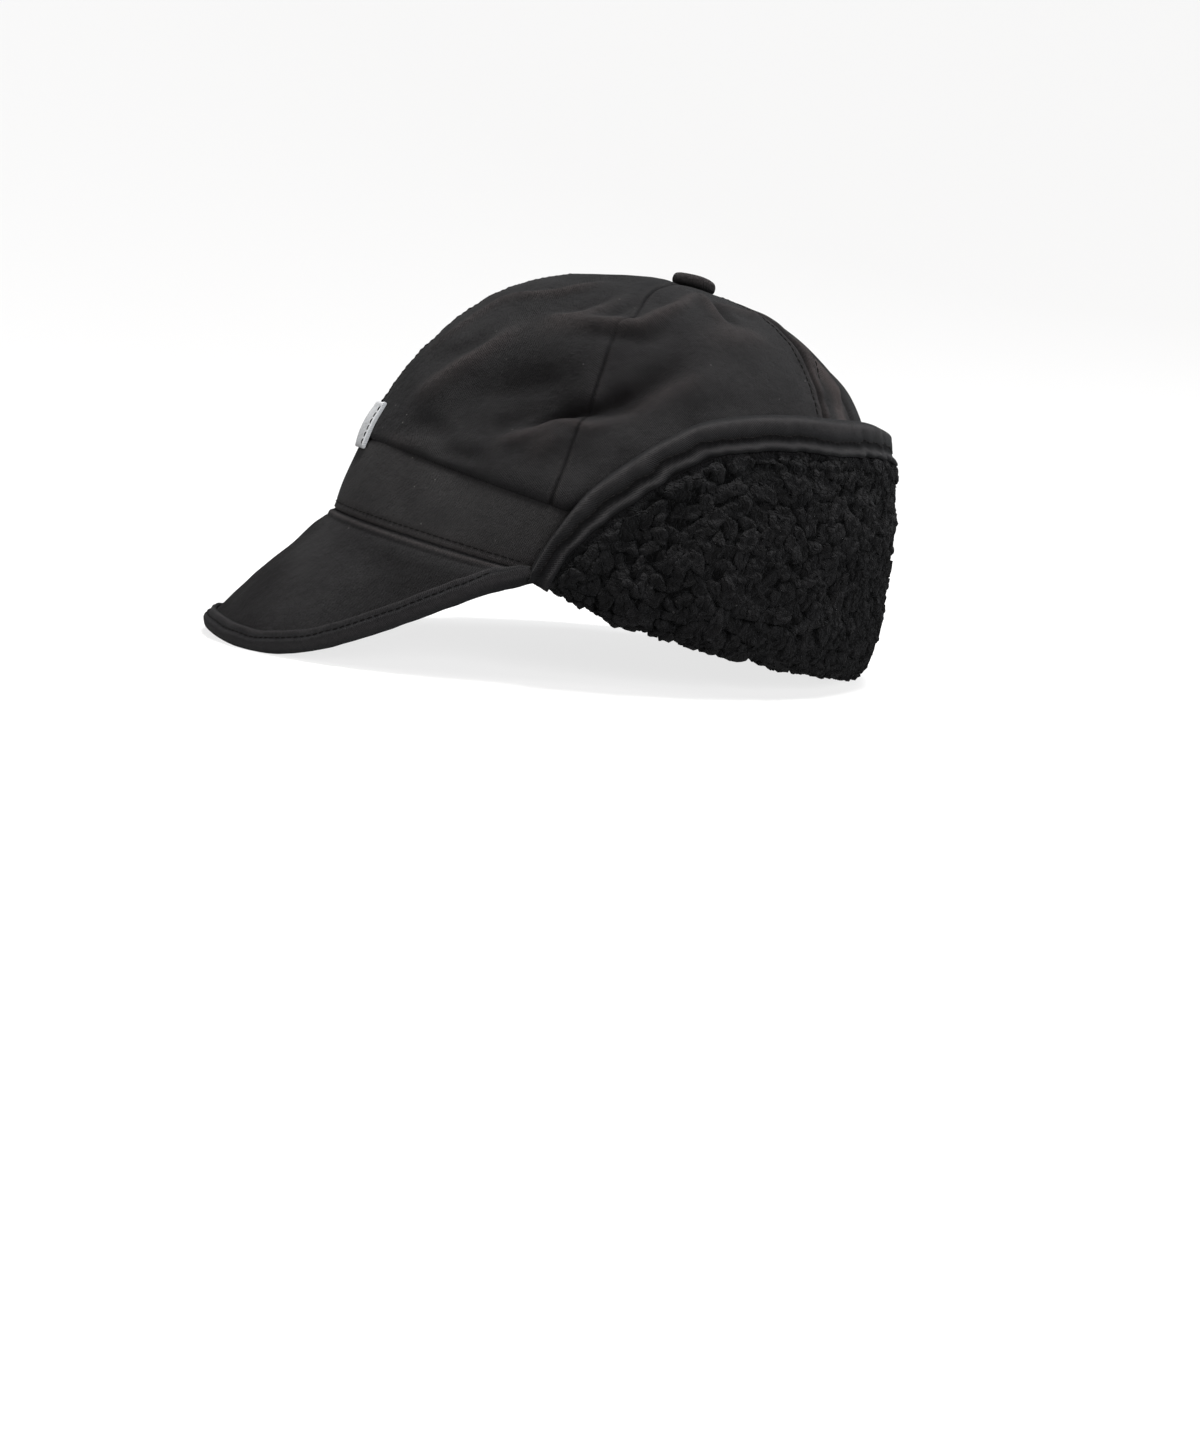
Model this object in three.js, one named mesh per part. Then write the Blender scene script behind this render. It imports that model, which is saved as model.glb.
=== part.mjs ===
// Earflap cap: six-gore crown, headband, short curved peak and a fleece-lined flap folded up round the back.
// Millimetres, +Z up, peak toward -Y, the wearer's left toward +X. The cap rests on z = 0 on the peak's two
// corners and on the flap's fold at the nape.
// Inside the cap's own group x is to the wearer's left, y is to the back and z is up the crown's axis from the
// rim. Places on the cap are given by an angle round the head (0 at the centre front, 180 at the nape), a
// height above the rim and an offset outward from the crown's cloth.
import * as THREE from 'three';

// Driving dimensions, in millimetres and degrees
const restTilt = 11.0;              // nose-up tilt of the rim when the cap stands by itself
const restLevel = -27.1;            // the surface it stands on, below the rim's centre
const rimHalfLength = 104;          // outer rim oval, front half
const rimHalfWidth = 85.8;
const crownHeight = 108.4;
const crownSquareness = 2.49;       // exponent of the crown's side outline, 2 would be an ellipse
const crownLean = 0.108;            // share of the width that is lost evenly up to the top
const napeTuck = 9.0;               // how far the rim hugs the nape inside the oval
const napeTuckTop = 75;             // height where that hug ends
const napeTuckSpread = 1.4;
const clothWall = 2.0;
const seamGap = 0.3;
const gapToNeighbour = 0.3;
const gapToCrown = 0.6;             // between the flap and the crown it lies on
const seamDip = 0.9;
const seamDipWidth = 3.0;
const seamDipFade = 25;             // the dips fade inside this radius, where the seams meet
const bandHeightSide = 20.0;
const bandHeightExtraFront = 6.5;
const bandWall = 2.2;
const bandColumns = 48;
const crownOverhang = 1.3;          // cloth of the gores puffing over the band's top seam
const crownOverhangRise = 5;
const crownOverhangSpread = 6;
const apexHoleRadius = 4.0;         // the gores stop here, under the button
const frontSeam = 62.5;             // angle of the seam between front and side gores
const backSeam = 122;               // angle of the seam between side and back gores
const flapShellWall = 1.2;
const fleecePile = 5.5;
const fleecePileAtEdge = 2.1;       // the pile is pinched where the tape folds over it
const flapLift = 2.5;               // how far the flap's top stands off the crown
const flapLiftFrom = 45;
const flapLiftRise = 35;
const flapEdgeLift = 2.4;           // room for the tape between flap and crown
const edgePinchFrom = 12.8;
const edgePinchTo = 18;
const curlDepth = 0.9;
const curlSize = 9.5;
const tapeWall = 1.2;
const tapeLegOutside = 10.5;
const tapeLegInside = 6.5;
const tapeFrontDrop = 4.4;          // the tape's outer side reaches down over the band's seam at the temple
const tapeFrontDropLength = 9;
const tapeSlack = 0.4;              // the tape's slot is this much wider than the layers in it
const tapeFoldOutside = 0.95;       // the fold starts at this share of the layers' depth
const tapeFoldInside = 0.6;         // and turns under them at this share of the tape's slack
const tapeFlatInside = 0.4;         // the inner leg has a row at this share of its length
const flapLayerGap = 0.5;
const tapeEdgeInset = 2.0;          // the flap's own layers end this far inside the tape's fold
const flapColumnSpacing = 6.3;      // degrees between the columns of the flap's layers
const flapEvenFrom = 80;            // the columns are evenly spaced behind this angle
const flapFullHeight = 45;          // columns shorter than this have their top rows closer together
const flapLowestRow = 0.6;
const fleeceFootWall = 0.6;         // least thickness of the fleece under the band
const fleeceFootReach = 1.0;        // how far the fleece reaches inward under the band
const peakHalfAngle = 63;
const peakWall = 2.8;
const peakRootDrop = 1.35;          // the peak's root lies this far under the band
const peakRootInset = 1.3;
const peakRootRoll = 0.7;
const peakRootRollAt = 3.0;
const peakRootWallShare = 0.75;     // the peak is thinner at its root, where it is sewn in
const peakBulge = 1.2;
const peakTapeWall = 1.15;
const peakTapeLeg = 6.5;
const peakEdgeInset = 1.7;          // the plate ends this far inside the tape's fold
const peakTapeSlot = 0.5;
const peakTapeLegShare = 0.62;      // the tape's leg is at most this share of the peak's length
const peakFullLength = 20;          // the peak's swell fades where it is shorter than this
const buttonRadius = 8.0;
const buttonThickness = 5.0;
const buttonForward = 0.8;          // the button sits this far ahead of the crown's axis
const labelWidth = 27;
const labelHeight = 17.5;
const labelWall = 1.0;
const labelBulge = 0.7;
const labelSeat = 0.1;
const labelLap = 4.2;               // the label's foot lies over the band's top seam

// Peak's edge from the centre front to its end at the temple: how far to the side, forward and up of the rim
const peakEdgeTable = [
  { side: 0, forward: 136.4, up: -51.7 },
  { side: 11.7, forward: 135.0, up: -51.7 },
  { side: 22.8, forward: 131.3, up: -51.8 },
  { side: 33.2, forward: 125.8, up: -51.5 },
  { side: 42.6, forward: 118.8, up: -50.1 },
  { side: 50.7, forward: 111.0, up: -47.0 },
  { side: 57.7, forward: 102.6, up: -42.5 },
  { side: 68.2, forward: 85.5, up: -30.3 },
  { side: 75.5, forward: 67.9, up: -16.5 },
  { side: 79.2, forward: 54.0, up: -6.0 },
  { side: 80.4, forward: 47.6, up: -2.4 },
];

// Flap's upper edge from its front end at the temple to the nape
const flapEdgeTable = [
  { angle: 64.1, height: 1.6 },
  { angle: 66.4, height: 14.1 },
  { angle: 69.8, height: 28.8 },
  { angle: 74.9, height: 40.9 },
  { angle: 80.1, height: 50.6 },
  { angle: 86.1, height: 58.8 },
  { angle: 93.2, height: 64.2 },
  { angle: 105.5, height: 70.0 },
  { angle: 121.9, height: 74.6 },
  { angle: 137.8, height: 78.0 },
  { angle: 160.0, height: 79.8 },
  { angle: 180.0, height: 80.2 },
];

// Depth of the fleece's roll under the rim, by angle
const foldDepthTable = [
  { angle: 64, depth: 2.6 },
  { angle: 68, depth: 4.6 },
  { angle: 73, depth: 7.6 },
  { angle: 80, depth: 10.2 },
  { angle: 100, depth: 10.6 },
  { angle: 125, depth: 9.6 },
  { angle: 150, depth: 9.8 },
  { angle: 180, depth: 10.2 },
];

// Section of the fleece's roll: offset outward as a share of the flap's thickness, height as a share of depth
const rollSectionTable = [
  { out: -0.40, down: 0.30 },
  { out: -0.34, down: 0.66 },
  { out: -0.12, down: 0.96 },
  { out: 0.14, down: 0.97 },
  { out: 0.46, down: 0.73 },
  { out: 0.80, down: 0.30 },
];

// Section of the peak from its root's roll to its edge: place as a share of its length, and its swell
const peakSectionTable = [
  { share: 0.22, swell: 0 },
  { share: 0.5, swell: 1 },
  { share: 0.8, swell: 0.6 },
  { share: 1, swell: 0 },
];

// Outer side of the flap's tape: distance back from its fold as a share of the leg, and how far it stands off
// the layers as a share of its wall
const tapeLegTable = [
  { back: 1, stand: 0.7 },
  { back: 0.8, stand: 1.5 },
  { back: 0.52, stand: 0.8 },
  { back: 0.25, stand: 1.2 },
];

// Creases and soft swells of the crown's cloth, each along a line between two places on the crown
const creaseTable = [
  { fromAngle: 46, fromHeight: 44, toAngle: 59, toHeight: 54, width: 5, relief: -2.6 },
  { fromAngle: 59, fromHeight: 54, toAngle: 71, toHeight: 69, width: 6, relief: -2.2 },
  { fromAngle: 71, fromHeight: 69, toAngle: 83, toHeight: 81, width: 8, relief: -1.2 },
  { fromAngle: 48, fromHeight: 35, toAngle: 60, toHeight: 45, width: 7, relief: 1.4 },
  { fromAngle: 64, fromHeight: 50, toAngle: 87, toHeight: 71, width: 9, relief: 1.3 },
  { fromAngle: 40, fromHeight: 88, toAngle: 70, toHeight: 96, width: 9, relief: -0.7 },
  { fromAngle: -50, fromHeight: 101, toAngle: 30, toHeight: 102, width: 13, relief: -1.1 },
  { fromAngle: 165, fromHeight: 86, toAngle: 178, toHeight: 100, width: 12, relief: 1.2 },
  { fromAngle: 5, fromHeight: 52, toAngle: 20, toHeight: 84, width: 15, relief: 1.2 },
  { fromAngle: 140, fromHeight: 84, toAngle: 120, toHeight: 99, width: 14, relief: 1.1 },
  { fromAngle: 46, fromHeight: 60, toAngle: 50, toHeight: 63, width: 11, relief: -1.4 },
  { fromAngle: 20, fromHeight: 46, toAngle: 35, toHeight: 68, width: 10, relief: 0.9 },
  { fromAngle: -40, fromHeight: 38, toAngle: -58, toHeight: 56, width: 7, relief: -1.8 },
  { fromAngle: -58, fromHeight: 56, toAngle: -72, toHeight: 64, width: 9, relief: -1.0 },
  { fromAngle: -50, fromHeight: 70, toAngle: -72, toHeight: 88, width: 10, relief: 1.0 },
  { fromAngle: -18, fromHeight: 50, toAngle: -30, toHeight: 72, width: 10, relief: 0.8 },
  { fromAngle: 140, fromHeight: 88, toAngle: 152, toHeight: 98, width: 10, relief: -1.0 },
  { fromAngle: -128, fromHeight: 84, toAngle: -146, toHeight: 92, width: 10, relief: -1.0 },
];

const ink = new THREE.Color(0x2b2b2d);
const degree = Math.PI / 180;

function clothMaterial(color, roughness) {
  return new THREE.MeshStandardMaterial({ color, roughness, metalness: 0 });
}

const materials = {
  twill: clothMaterial(ink, 0.86),
  tape: clothMaterial(0x232326, 0.8),
  fleece: clothMaterial(0x1b1b1c, 0.98),
  label: clothMaterial(0x878a8d, 0.7),
};

function smoothStep(from, to, value) {
  const t = Math.min(Math.max((value - from) / (to - from), 0), 1);
  return t * t * (3 - 2 * t);
}

// Value of a column in a table at an angle, eased between its rows
function readTable(table, key, column, at) {
  const last = table.length - 1;
  if (at <= table[0][key]) {
    return table[0][column];
  }
  for (let row = 0; row < last; row += 1) {
    const low = table[row];
    const high = table[row + 1];
    if (at <= high[key]) {
      const t = (at - low[key]) / (high[key] - low[key]);
      return low[column] + (high[column] - low[column]) * t;
    }
  }
  return table[last][column];
}

// Angle from the centre front without its side, from 0 to 180
function foldedAngle(angle) {
  const round = ((angle % 360) + 360) % 360;
  return round > 180 ? 360 - round : round;
}

function crownScale(height) {
  const q = Math.min(Math.max(height / crownHeight, 0), 1);
  const round = Math.pow(1 - Math.pow(q, crownSquareness), 1 / crownSquareness);
  return (1 - crownLean * q) * round;
}

// A place on the plain crown, or on its rim carried straight down below height 0
function crownPoint(angle, height, outward = 0) {
  const a = angle * degree;
  const scale = crownScale(height);
  const normal = new THREE.Vector2(Math.sin(a) / rimHalfWidth, -Math.cos(a) / rimHalfLength).normalize();
  const atNape = Math.pow(Math.max(-Math.cos(a), 0), napeTuckSpread);
  const up = Math.max(height, 0) / napeTuckTop;
  const tuck = napeTuck * Math.max(1 - up * up, 0) * atNape;
  const offset = outward - tuck;
  return new THREE.Vector3(
    rimHalfWidth * Math.sin(a) * scale + normal.x * offset,
    -rimHalfLength * Math.cos(a) * scale + normal.y * offset,
    height,
  );
}

function bandTop(angle) {
  const front = Math.max(Math.cos(angle * degree), 0);
  return bandHeightSide + bandHeightExtraFront * front * front;
}

// Outward direction of the crown's cloth at a place
function crownNormal(angle, height) {
  const step = 0.5;
  const sideways = crownPoint(angle + step, height).sub(crownPoint(angle - step, height));
  const upward = crownPoint(angle, height + step).sub(crownPoint(angle, height - step));
  return sideways.cross(upward).normalize();
}

const creases = creaseTable.map((row) => ({
  from: crownPoint(row.fromAngle, row.fromHeight),
  to: crownPoint(row.toAngle, row.toHeight),
  width: row.width,
  relief: row.relief,
}));

// How far the cloth stands in or out at a place because of its creases
function creaseRelief(point, normal) {
  let sum = 0;
  for (const crease of creases) {
    const along = crease.to.clone().sub(crease.from);
    const t = Math.min(Math.max(point.clone().sub(crease.from).dot(along) / along.lengthSq(), 0), 1);
    const away = point.clone().sub(crease.from.clone().addScaledVector(along, t));
    away.addScaledVector(normal, -away.dot(normal));
    sum += crease.relief * Math.exp(-away.lengthSq() / (crease.width * crease.width));
  }
  return sum;
}

// 1 where the flap lies on the crown, 0 where the crown is free
function flapCover(angle, height) {
  const side = smoothStep(flapEdgeTable[0].angle - 1, flapEdgeTable[0].angle + 3, foldedAngle(angle));
  const top = readTable(flapEdgeTable, 'angle', 'height', foldedAngle(angle));
  return side * (1 - smoothStep(top + 2, top + 9, height));
}

// Relief of the crown's cloth: the puff over the band's seam and the creases, pressed flat under the flap
function clothRelief(angle, height) {
  const rise = (height - bandTop(angle) - crownOverhangRise) / crownOverhangSpread;
  const normal = crownNormal(angle, Math.min(height, crownHeight - 1));
  const crease = creaseRelief(crownPoint(angle, height), normal);
  const relief = crownOverhang * Math.exp(-rise * rise) + crease;
  return relief > 0 ? relief * (1 - flapCover(angle, height)) : relief;
}

// A closed sheet between two skins. Each skin is a list of columns with equal numbers of points.
function sheetBetween(outer, inner, isLoop) {
  const columns = outer.length;
  const rows = outer[0].length;
  const positions = [];
  for (const skin of [outer, inner]) {
    for (const column of skin) {
      for (const point of column) {
        positions.push(point.x, point.y, point.z);
      }
    }
  }
  const at = (skin, column, row) => (skin * columns + (column % columns)) * rows + row;
  const index = [];
  const quad = (a, b, c, d) => index.push(a, b, c, a, c, d);
  const spans = isLoop ? columns : columns - 1;
  for (let i = 0; i < spans; i += 1) {
    for (let j = 0; j < rows - 1; j += 1) {
      quad(at(0, i, j), at(0, i + 1, j), at(0, i + 1, j + 1), at(0, i, j + 1));
      quad(at(1, i, j), at(1, i, j + 1), at(1, i + 1, j + 1), at(1, i + 1, j));
    }
    quad(at(1, i, 0), at(1, i + 1, 0), at(0, i + 1, 0), at(0, i, 0));
    quad(at(0, i, rows - 1), at(0, i + 1, rows - 1), at(1, i + 1, rows - 1), at(1, i, rows - 1));
  }
  if (!isLoop) {
    for (let j = 0; j < rows - 1; j += 1) {
      quad(at(0, 0, j), at(0, 0, j + 1), at(1, 0, j + 1), at(1, 0, j));
      quad(at(0, spans, j + 1), at(0, spans, j), at(1, spans, j), at(1, spans, j + 1));
    }
  }
  if (signedVolume(positions, index) < 0) {
    for (let k = 0; k < index.length; k += 3) {
      [index[k + 1], index[k + 2]] = [index[k + 2], index[k + 1]];
    }
  }
  const geometry = new THREE.BufferGeometry();
  geometry.setAttribute('position', new THREE.Float32BufferAttribute(positions, 3));
  geometry.setIndex(index);
  geometry.computeVertexNormals();
  return geometry;
}

function signedVolume(positions, index) {
  const corner = (k) => new THREE.Vector3().fromArray(positions, index[k] * 3);
  let sum = 0;
  for (let k = 0; k < index.length; k += 3) {
    sum += corner(k).dot(corner(k + 1).cross(corner(k + 2)));
  }
  return sum / 6;
}

// Cloth that would reach below the surface the cap stands on is pressed flat there
const restUp = new THREE.Vector3(0, -Math.sin(restTilt * degree), Math.cos(restTilt * degree));

function settle(point) {
  const below = restLevel - point.dot(restUp);
  return below > 0 ? point.addScaledVector(restUp, below) : point;
}

const cap = new THREE.Group();

function addPiece(name, geometry, material) {
  const mesh = new THREE.Mesh(geometry, material);
  mesh.name = name;
  cap.add(mesh);
  return mesh;
}

// Crown gores

const goreColumns = [0, 0.035, 0.12, 0.24, 0.37, 0.5, 0.63, 0.76, 0.88, 0.965, 1];
const goreRows = 12;

function gore(fromAngle, toAngle) {
  const outer = [];
  const inner = [];
  for (const share of goreColumns) {
    const outerColumn = [];
    const innerColumn = [];
    const foot = bandTop(fromAngle + (toAngle - fromAngle) * share) + seamGap;
    const firstTurn = Math.asin(Math.pow(foot / crownHeight, crownSquareness / 2));
    const holeShare = apexHoleRadius / (rimHalfWidth * (1 - crownLean));
    const lastTurn = Math.acos(Math.pow(holeShare, crownSquareness / 2));
    for (let row = 0; row <= goreRows; row += 1) {
      const turn = firstTurn + (lastTurn - firstTurn) * (row / goreRows);
      const height = row === 0 ? foot : crownHeight * Math.pow(Math.sin(turn), 2 / crownSquareness);
      const radius = rimHalfWidth * crownScale(height);
      const trim = (seamGap / 2 / radius) / degree;
      const angle = fromAngle + trim + (toAngle - fromAngle - 2 * trim) * share;
      const place = crownPoint(angle, height);
      const normal = crownNormal(angle, Math.min(height, crownHeight - 1));
      const toSeam = Math.min(share, 1 - share) * (toAngle - fromAngle) * degree * radius;
      const flatTop = Math.min(radius / seamDipFade, 1);
      const dip = -seamDip * flatTop * Math.exp(-Math.pow(toSeam / seamDipWidth, 2));
      const relief = dip + clothRelief(angle, height);
      outerColumn.push(place.clone().addScaledVector(normal, relief));
      innerColumn.push(place.clone().addScaledVector(normal, relief - clothWall));
    }
    innerColumn[0].z = outerColumn[0].z;
    outer.push(outerColumn);
    inner.push(innerColumn);
  }
  return sheetBetween(outer, inner, false);
}

const gores = [
  { name: 'crown_panel_front_left', from: 0, to: frontSeam },
  { name: 'crown_panel_side_left', from: frontSeam, to: backSeam },
  { name: 'crown_panel_back_left', from: backSeam, to: 180 },
  { name: 'crown_panel_back_right', from: 180, to: 360 - backSeam },
  { name: 'crown_panel_side_right', from: 360 - backSeam, to: 360 - frontSeam },
  { name: 'crown_panel_front_right', from: 360 - frontSeam, to: 360 },
];
for (const row of gores) {
  addPiece(row.name, gore(row.from, row.to), materials.twill);
}

// Headband

function headband() {
  const outer = [];
  const inner = [];
  for (let i = 0; i < bandColumns; i += 1) {
    const angle = (i / bandColumns) * 360;
    const heights = [0, bandTop(angle)];
    outer.push(heights.map((height) => crownPoint(angle, height)));
    inner.push(heights.map((height) => crownPoint(angle, height, -bandWall)));
  }
  return sheetBetween(outer, inner, true);
}

addPiece('band', headband(), materials.twill);

// Peak and the tape folded over its edge

const peakColumns = 32;

function mirroredRows(table) {
  const left = table.slice(1).reverse();
  const right = table.slice(1).map((row) => ({ ...row, side: -row.side }));
  return [...left, table[0], ...right];
}

const peakEdge = new THREE.CatmullRomCurve3(
  mirroredRows(peakEdgeTable).map((row) => new THREE.Vector3(row.side, -row.forward, row.up)),
  false,
  'centripetal',
);

// Frame of the peak at a share of its width: root, edge, direction out from the root and the upper side
function peakFrame(share) {
  const angle = peakHalfAngle * (1 - 2 * share);
  const root = crownPoint(angle, -peakRootDrop, -peakRootInset);
  const edge = peakEdge.getPointAt(share);
  const along = peakEdge.getTangentAt(share);
  const reach = edge.clone().sub(root);
  const length = reach.length();
  const out = reach.normalize();
  const top = along.clone().cross(out).normalize();
  if (top.z < 0) {
    top.negate();
  }
  return { root, edge, out, top, length };
}

function peakPlate() {
  const outer = [];
  const inner = [];
  const half = peakWall / 2;
  for (let i = 0; i <= peakColumns; i += 1) {
    const { root, out, top, length } = peakFrame(i / peakColumns);
    const end = length - peakEdgeInset;
    const scale = Math.min(end / peakFullLength, 1);
    const roll = (peakRootRoll / 2) * scale;
    const stations = [
      { at: 0, lift: 0, half: half * peakRootWallShare },
      { at: peakRootRollAt * scale, lift: roll, half: half + roll },
      ...peakSectionTable.map((row) => ({ at: end * row.share, lift: peakBulge * row.swell * scale, half })),
    ];
    const place = (row, side) => root.clone()
      .addScaledVector(out, row.at)
      .addScaledVector(top, row.lift + side * row.half);
    outer.push(stations.map((row) => place(row, 1)));
    inner.push(stations.map((row) => place(row, -1)));
  }
  return sheetBetween(outer, inner, false);
}

addPiece('peak', peakPlate(), materials.twill);

function peakTape() {
  const outer = [];
  const inner = [];
  const slot = peakWall / 2 + peakTapeSlot;
  for (let i = 0; i <= peakColumns; i += 1) {
    const { root, out, top, length } = peakFrame(i / peakColumns);
    const scale = Math.min((length - peakEdgeInset) / peakFullLength, 1);
    const leg = Math.min(peakTapeLeg, length * peakTapeLegShare);
    const at = (back, up) => {
      const bow = peakBulge * 0.6 * scale * Math.min(Math.max(back - peakEdgeInset, 0) / (length * 0.2), 1);
      const place = root.clone().addScaledVector(out, length - back).addScaledVector(top, up + bow);
      return settle(place);
    };
    outer.push([
      at(leg, slot + peakTapeWall * 0.8),
      at(leg * 0.55, slot + peakTapeWall * 1.2),
      at(peakTapeWall * 0.5, slot * 0.9),
      at(-peakTapeWall * 0.25, 0),
      at(peakTapeWall * 0.5, -slot * 0.9),
      at(leg * 0.55, -slot - peakTapeWall * 1.2),
      at(leg, -slot - peakTapeWall * 0.8),
    ]);
    inner.push([
      at(leg, slot),
      at(leg * 0.5, slot),
      at(peakEdgeInset - gapToNeighbour, slot * 0.8),
      at(peakEdgeInset - gapToNeighbour, 0),
      at(peakEdgeInset - gapToNeighbour, -slot * 0.8),
      at(leg * 0.5, -slot),
      at(leg, -slot),
    ]);
  }
  return sheetBetween(outer, inner, false);
}

addPiece('peak_binding', peakTape(), materials.tape);

// Flap: its edge line on the crown, and where its layers lie outward of the crown

function baseLift(height) {
  const rise = Math.max(height - flapLiftFrom, 0) / flapLiftRise;
  return gapToCrown + flapLift * rise * rise;
}

const flapEdgeRows = [
  ...flapEdgeTable,
  ...flapEdgeTable.slice(0, -1).reverse().map((row) => ({ angle: 360 - row.angle, height: row.height })),
];
// The edge line in its own plane of angle and height, angle times this scale being millimetres round the head
const angleToLength = ((rimHalfWidth + rimHalfLength) / 2) * degree;
const flapEdge = new THREE.CatmullRomCurve3(
  flapEdgeRows.map((row) => new THREE.Vector3(row.angle * angleToLength, row.height, 0)),
  false,
  'centripetal',
);
const edgeLength = flapEdge.getLength();
const edgeSamples = 180;
const edgeLine = [];
for (let i = 0; i <= edgeSamples; i += 1) {
  const point = flapEdge.getPointAt(i / edgeSamples);
  const angle = point.x / angleToLength;
  edgeLine.push({ angle, height: point.y, place: crownPoint(angle, point.y, baseLift(point.y)) });
}

// Distance on the flap from a place to its upper edge
function edgeDistance(angle, height) {
  const place = crownPoint(angle, height, baseLift(height));
  let nearest = Infinity;
  for (let i = 0; i < edgeLine.length - 1; i += 1) {
    const from = edgeLine[i].place;
    const along = edgeLine[i + 1].place.clone().sub(from);
    const t = Math.min(Math.max(place.clone().sub(from).dot(along) / along.lengthSq(), 0), 1);
    const away = place.distanceTo(from.clone().addScaledVector(along, t));
    nearest = Math.min(nearest, away);
  }
  return nearest;
}

// Offset of the flap's inner face from the crown
function flapInside(angle, height) {
  const nearEdge = 1 - smoothStep(edgePinchFrom, edgePinchTo, edgeDistance(angle, height));
  return Math.max(baseLift(height), gapToCrown + (flapEdgeLift - gapToCrown) * nearEdge);
}

function pileThickness(angle, height) {
  const open = smoothStep(edgePinchFrom, edgePinchTo, edgeDistance(angle, height));
  return fleecePileAtEdge + (fleecePile - fleecePileAtEdge) * open;
}

// Height on a column where the flap's layers end inside the tape
function layerTop(angle) {
  let top = readTable(flapEdgeTable, 'angle', 'height', foldedAngle(angle));
  const step = 0.25;
  while (edgeDistance(angle, top) < tapeEdgeInset) {
    top -= step;
  }
  return top;
}

// Angles of the columns of the flap's layers, closer together at its steep front ends
const flapFrontAngles = [66.2, 67.4, 69, 71, 73.5, 76.5];

function flapColumns() {
  const left = [...flapFrontAngles];
  const span = 180 - flapEvenFrom;
  const count = Math.ceil(span / flapColumnSpacing);
  for (let i = 0; i < count; i += 1) {
    left.push(flapEvenFrom + (span / count) * i);
  }
  const right = left.slice().reverse().map((angle) => 360 - angle);
  return [...left, 180, ...right];
}

// Curls of the pile as an uneven relief between 0 and 1
function curls(angle, height) {
  const x = (angle * angleToLength) / curlSize;
  const y = height / curlSize;
  const first = Math.sin(x * 5.1 + 1.7 * Math.sin(y * 3.9)) * Math.sin(y * 5.6 + 1.3 * Math.sin(x * 4.3));
  const second = Math.sin(x * 8.3 + 2.1) * Math.sin(y * 7.7 + 0.6);
  return 0.5 + 0.32 * first + 0.18 * second;
}

// Rows of the flap's layers: the top ones at fixed distances from the edge, the low ones at shares of the rest
const flapTopRows = [17, 11, 5, 0];
const shellLowShares = [0.32, 0.56, 0.8];
const fleeceLowShares = [0.08, ...shellLowShares];

function columnHeights(top, lowShares) {
  const pinch = Math.min(top / flapFullHeight, 1);
  const below = top - flapTopRows[0] * pinch;
  const low = lowShares.map((share) => Math.max(below * share, flapLowestRow));
  return [...low, ...flapTopRows.map((down) => top - down * pinch)];
}

function flapShell() {
  const outer = [];
  const inner = [];
  for (const angle of flapColumns()) {
    const top = layerTop(angle);
    const corner = flapInside(angle, 0);
    const innerColumn = [
      crownPoint(angle, -gapToNeighbour, -bandWall),
      crownPoint(angle, -gapToNeighbour, corner),
    ];
    const outerColumn = [
      crownPoint(angle, -gapToNeighbour - flapShellWall, -bandWall),
      crownPoint(angle, -gapToNeighbour - flapShellWall * 0.8, corner + flapShellWall * 0.7),
    ];
    for (const height of columnHeights(top, shellLowShares)) {
      const inside = flapInside(angle, height);
      innerColumn.push(crownPoint(angle, height, inside));
      outerColumn.push(crownPoint(angle, height, inside + flapShellWall));
    }
    outer.push(outerColumn);
    inner.push(innerColumn);
  }
  return sheetBetween(outer, inner, false);
}

addPiece('earflap_shell', flapShell(), materials.twill);

function flapFleece() {
  const outer = [];
  const inner = [];
  const foot = -gapToNeighbour - flapShellWall - flapLayerGap;
  for (const angle of flapColumns()) {
    const top = layerTop(angle);
    const depth = readTable(foldDepthTable, 'angle', 'depth', foldedAngle(angle));
    const corner = flapInside(angle, 0) + flapShellWall + flapLayerGap;
    const thickness = corner + pileThickness(angle, 0);
    const innerColumn = [];
    const outerColumn = [];
    // Inner side of the roll: it follows the band's foot and turns up round the shell's fold
    const innerSection = [
      { out: -bandWall - 0.2, down: 0.2 },
      { out: -1.4, down: 0 },
      { out: -0.4, down: 0 },
      { out: corner - 1.4, down: 0 },
      { out: corner - 0.6, down: -0.2 },
      { out: corner, down: -0.9 },
    ];
    rollSectionTable.forEach((row, k) => {
      const under = innerSection[k];
      innerColumn.push(crownPoint(angle, foot - under.down, under.out));
      const curl = curlDepth * curls(angle, -row.down * depth) * Math.min(k / 2, 1);
      const out = thickness * row.out - (row.out < 0 ? fleeceFootReach : 0);
      const low = Math.min(foot - fleeceFootWall, -row.down * depth - curl * 0.3);
      outerColumn.push(settle(crownPoint(angle, low, out + curl * 0.5)));
    });
    for (const height of columnHeights(top, fleeceLowShares)) {
      const inside = flapInside(angle, height) + flapShellWall + flapLayerGap;
      const open = smoothStep(edgePinchFrom, edgePinchTo, edgeDistance(angle, height));
      const curl = curlDepth * (curls(angle, height) - 0.5) * 2 * open;
      innerColumn.push(crownPoint(angle, height, inside));
      outerColumn.push(crownPoint(angle, height, inside + pileThickness(angle, height) + curl));
    }
    outer.push(outerColumn);
    inner.push(innerColumn);
  }
  return sheetBetween(outer, inner, false);
}

addPiece('earflap_fleece', flapFleece(), materials.fleece);

// Tape folded over the flap's edge. A place on it has a distance back from the fold and a depth off the crown.
const tapeColumns = 56;

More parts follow.
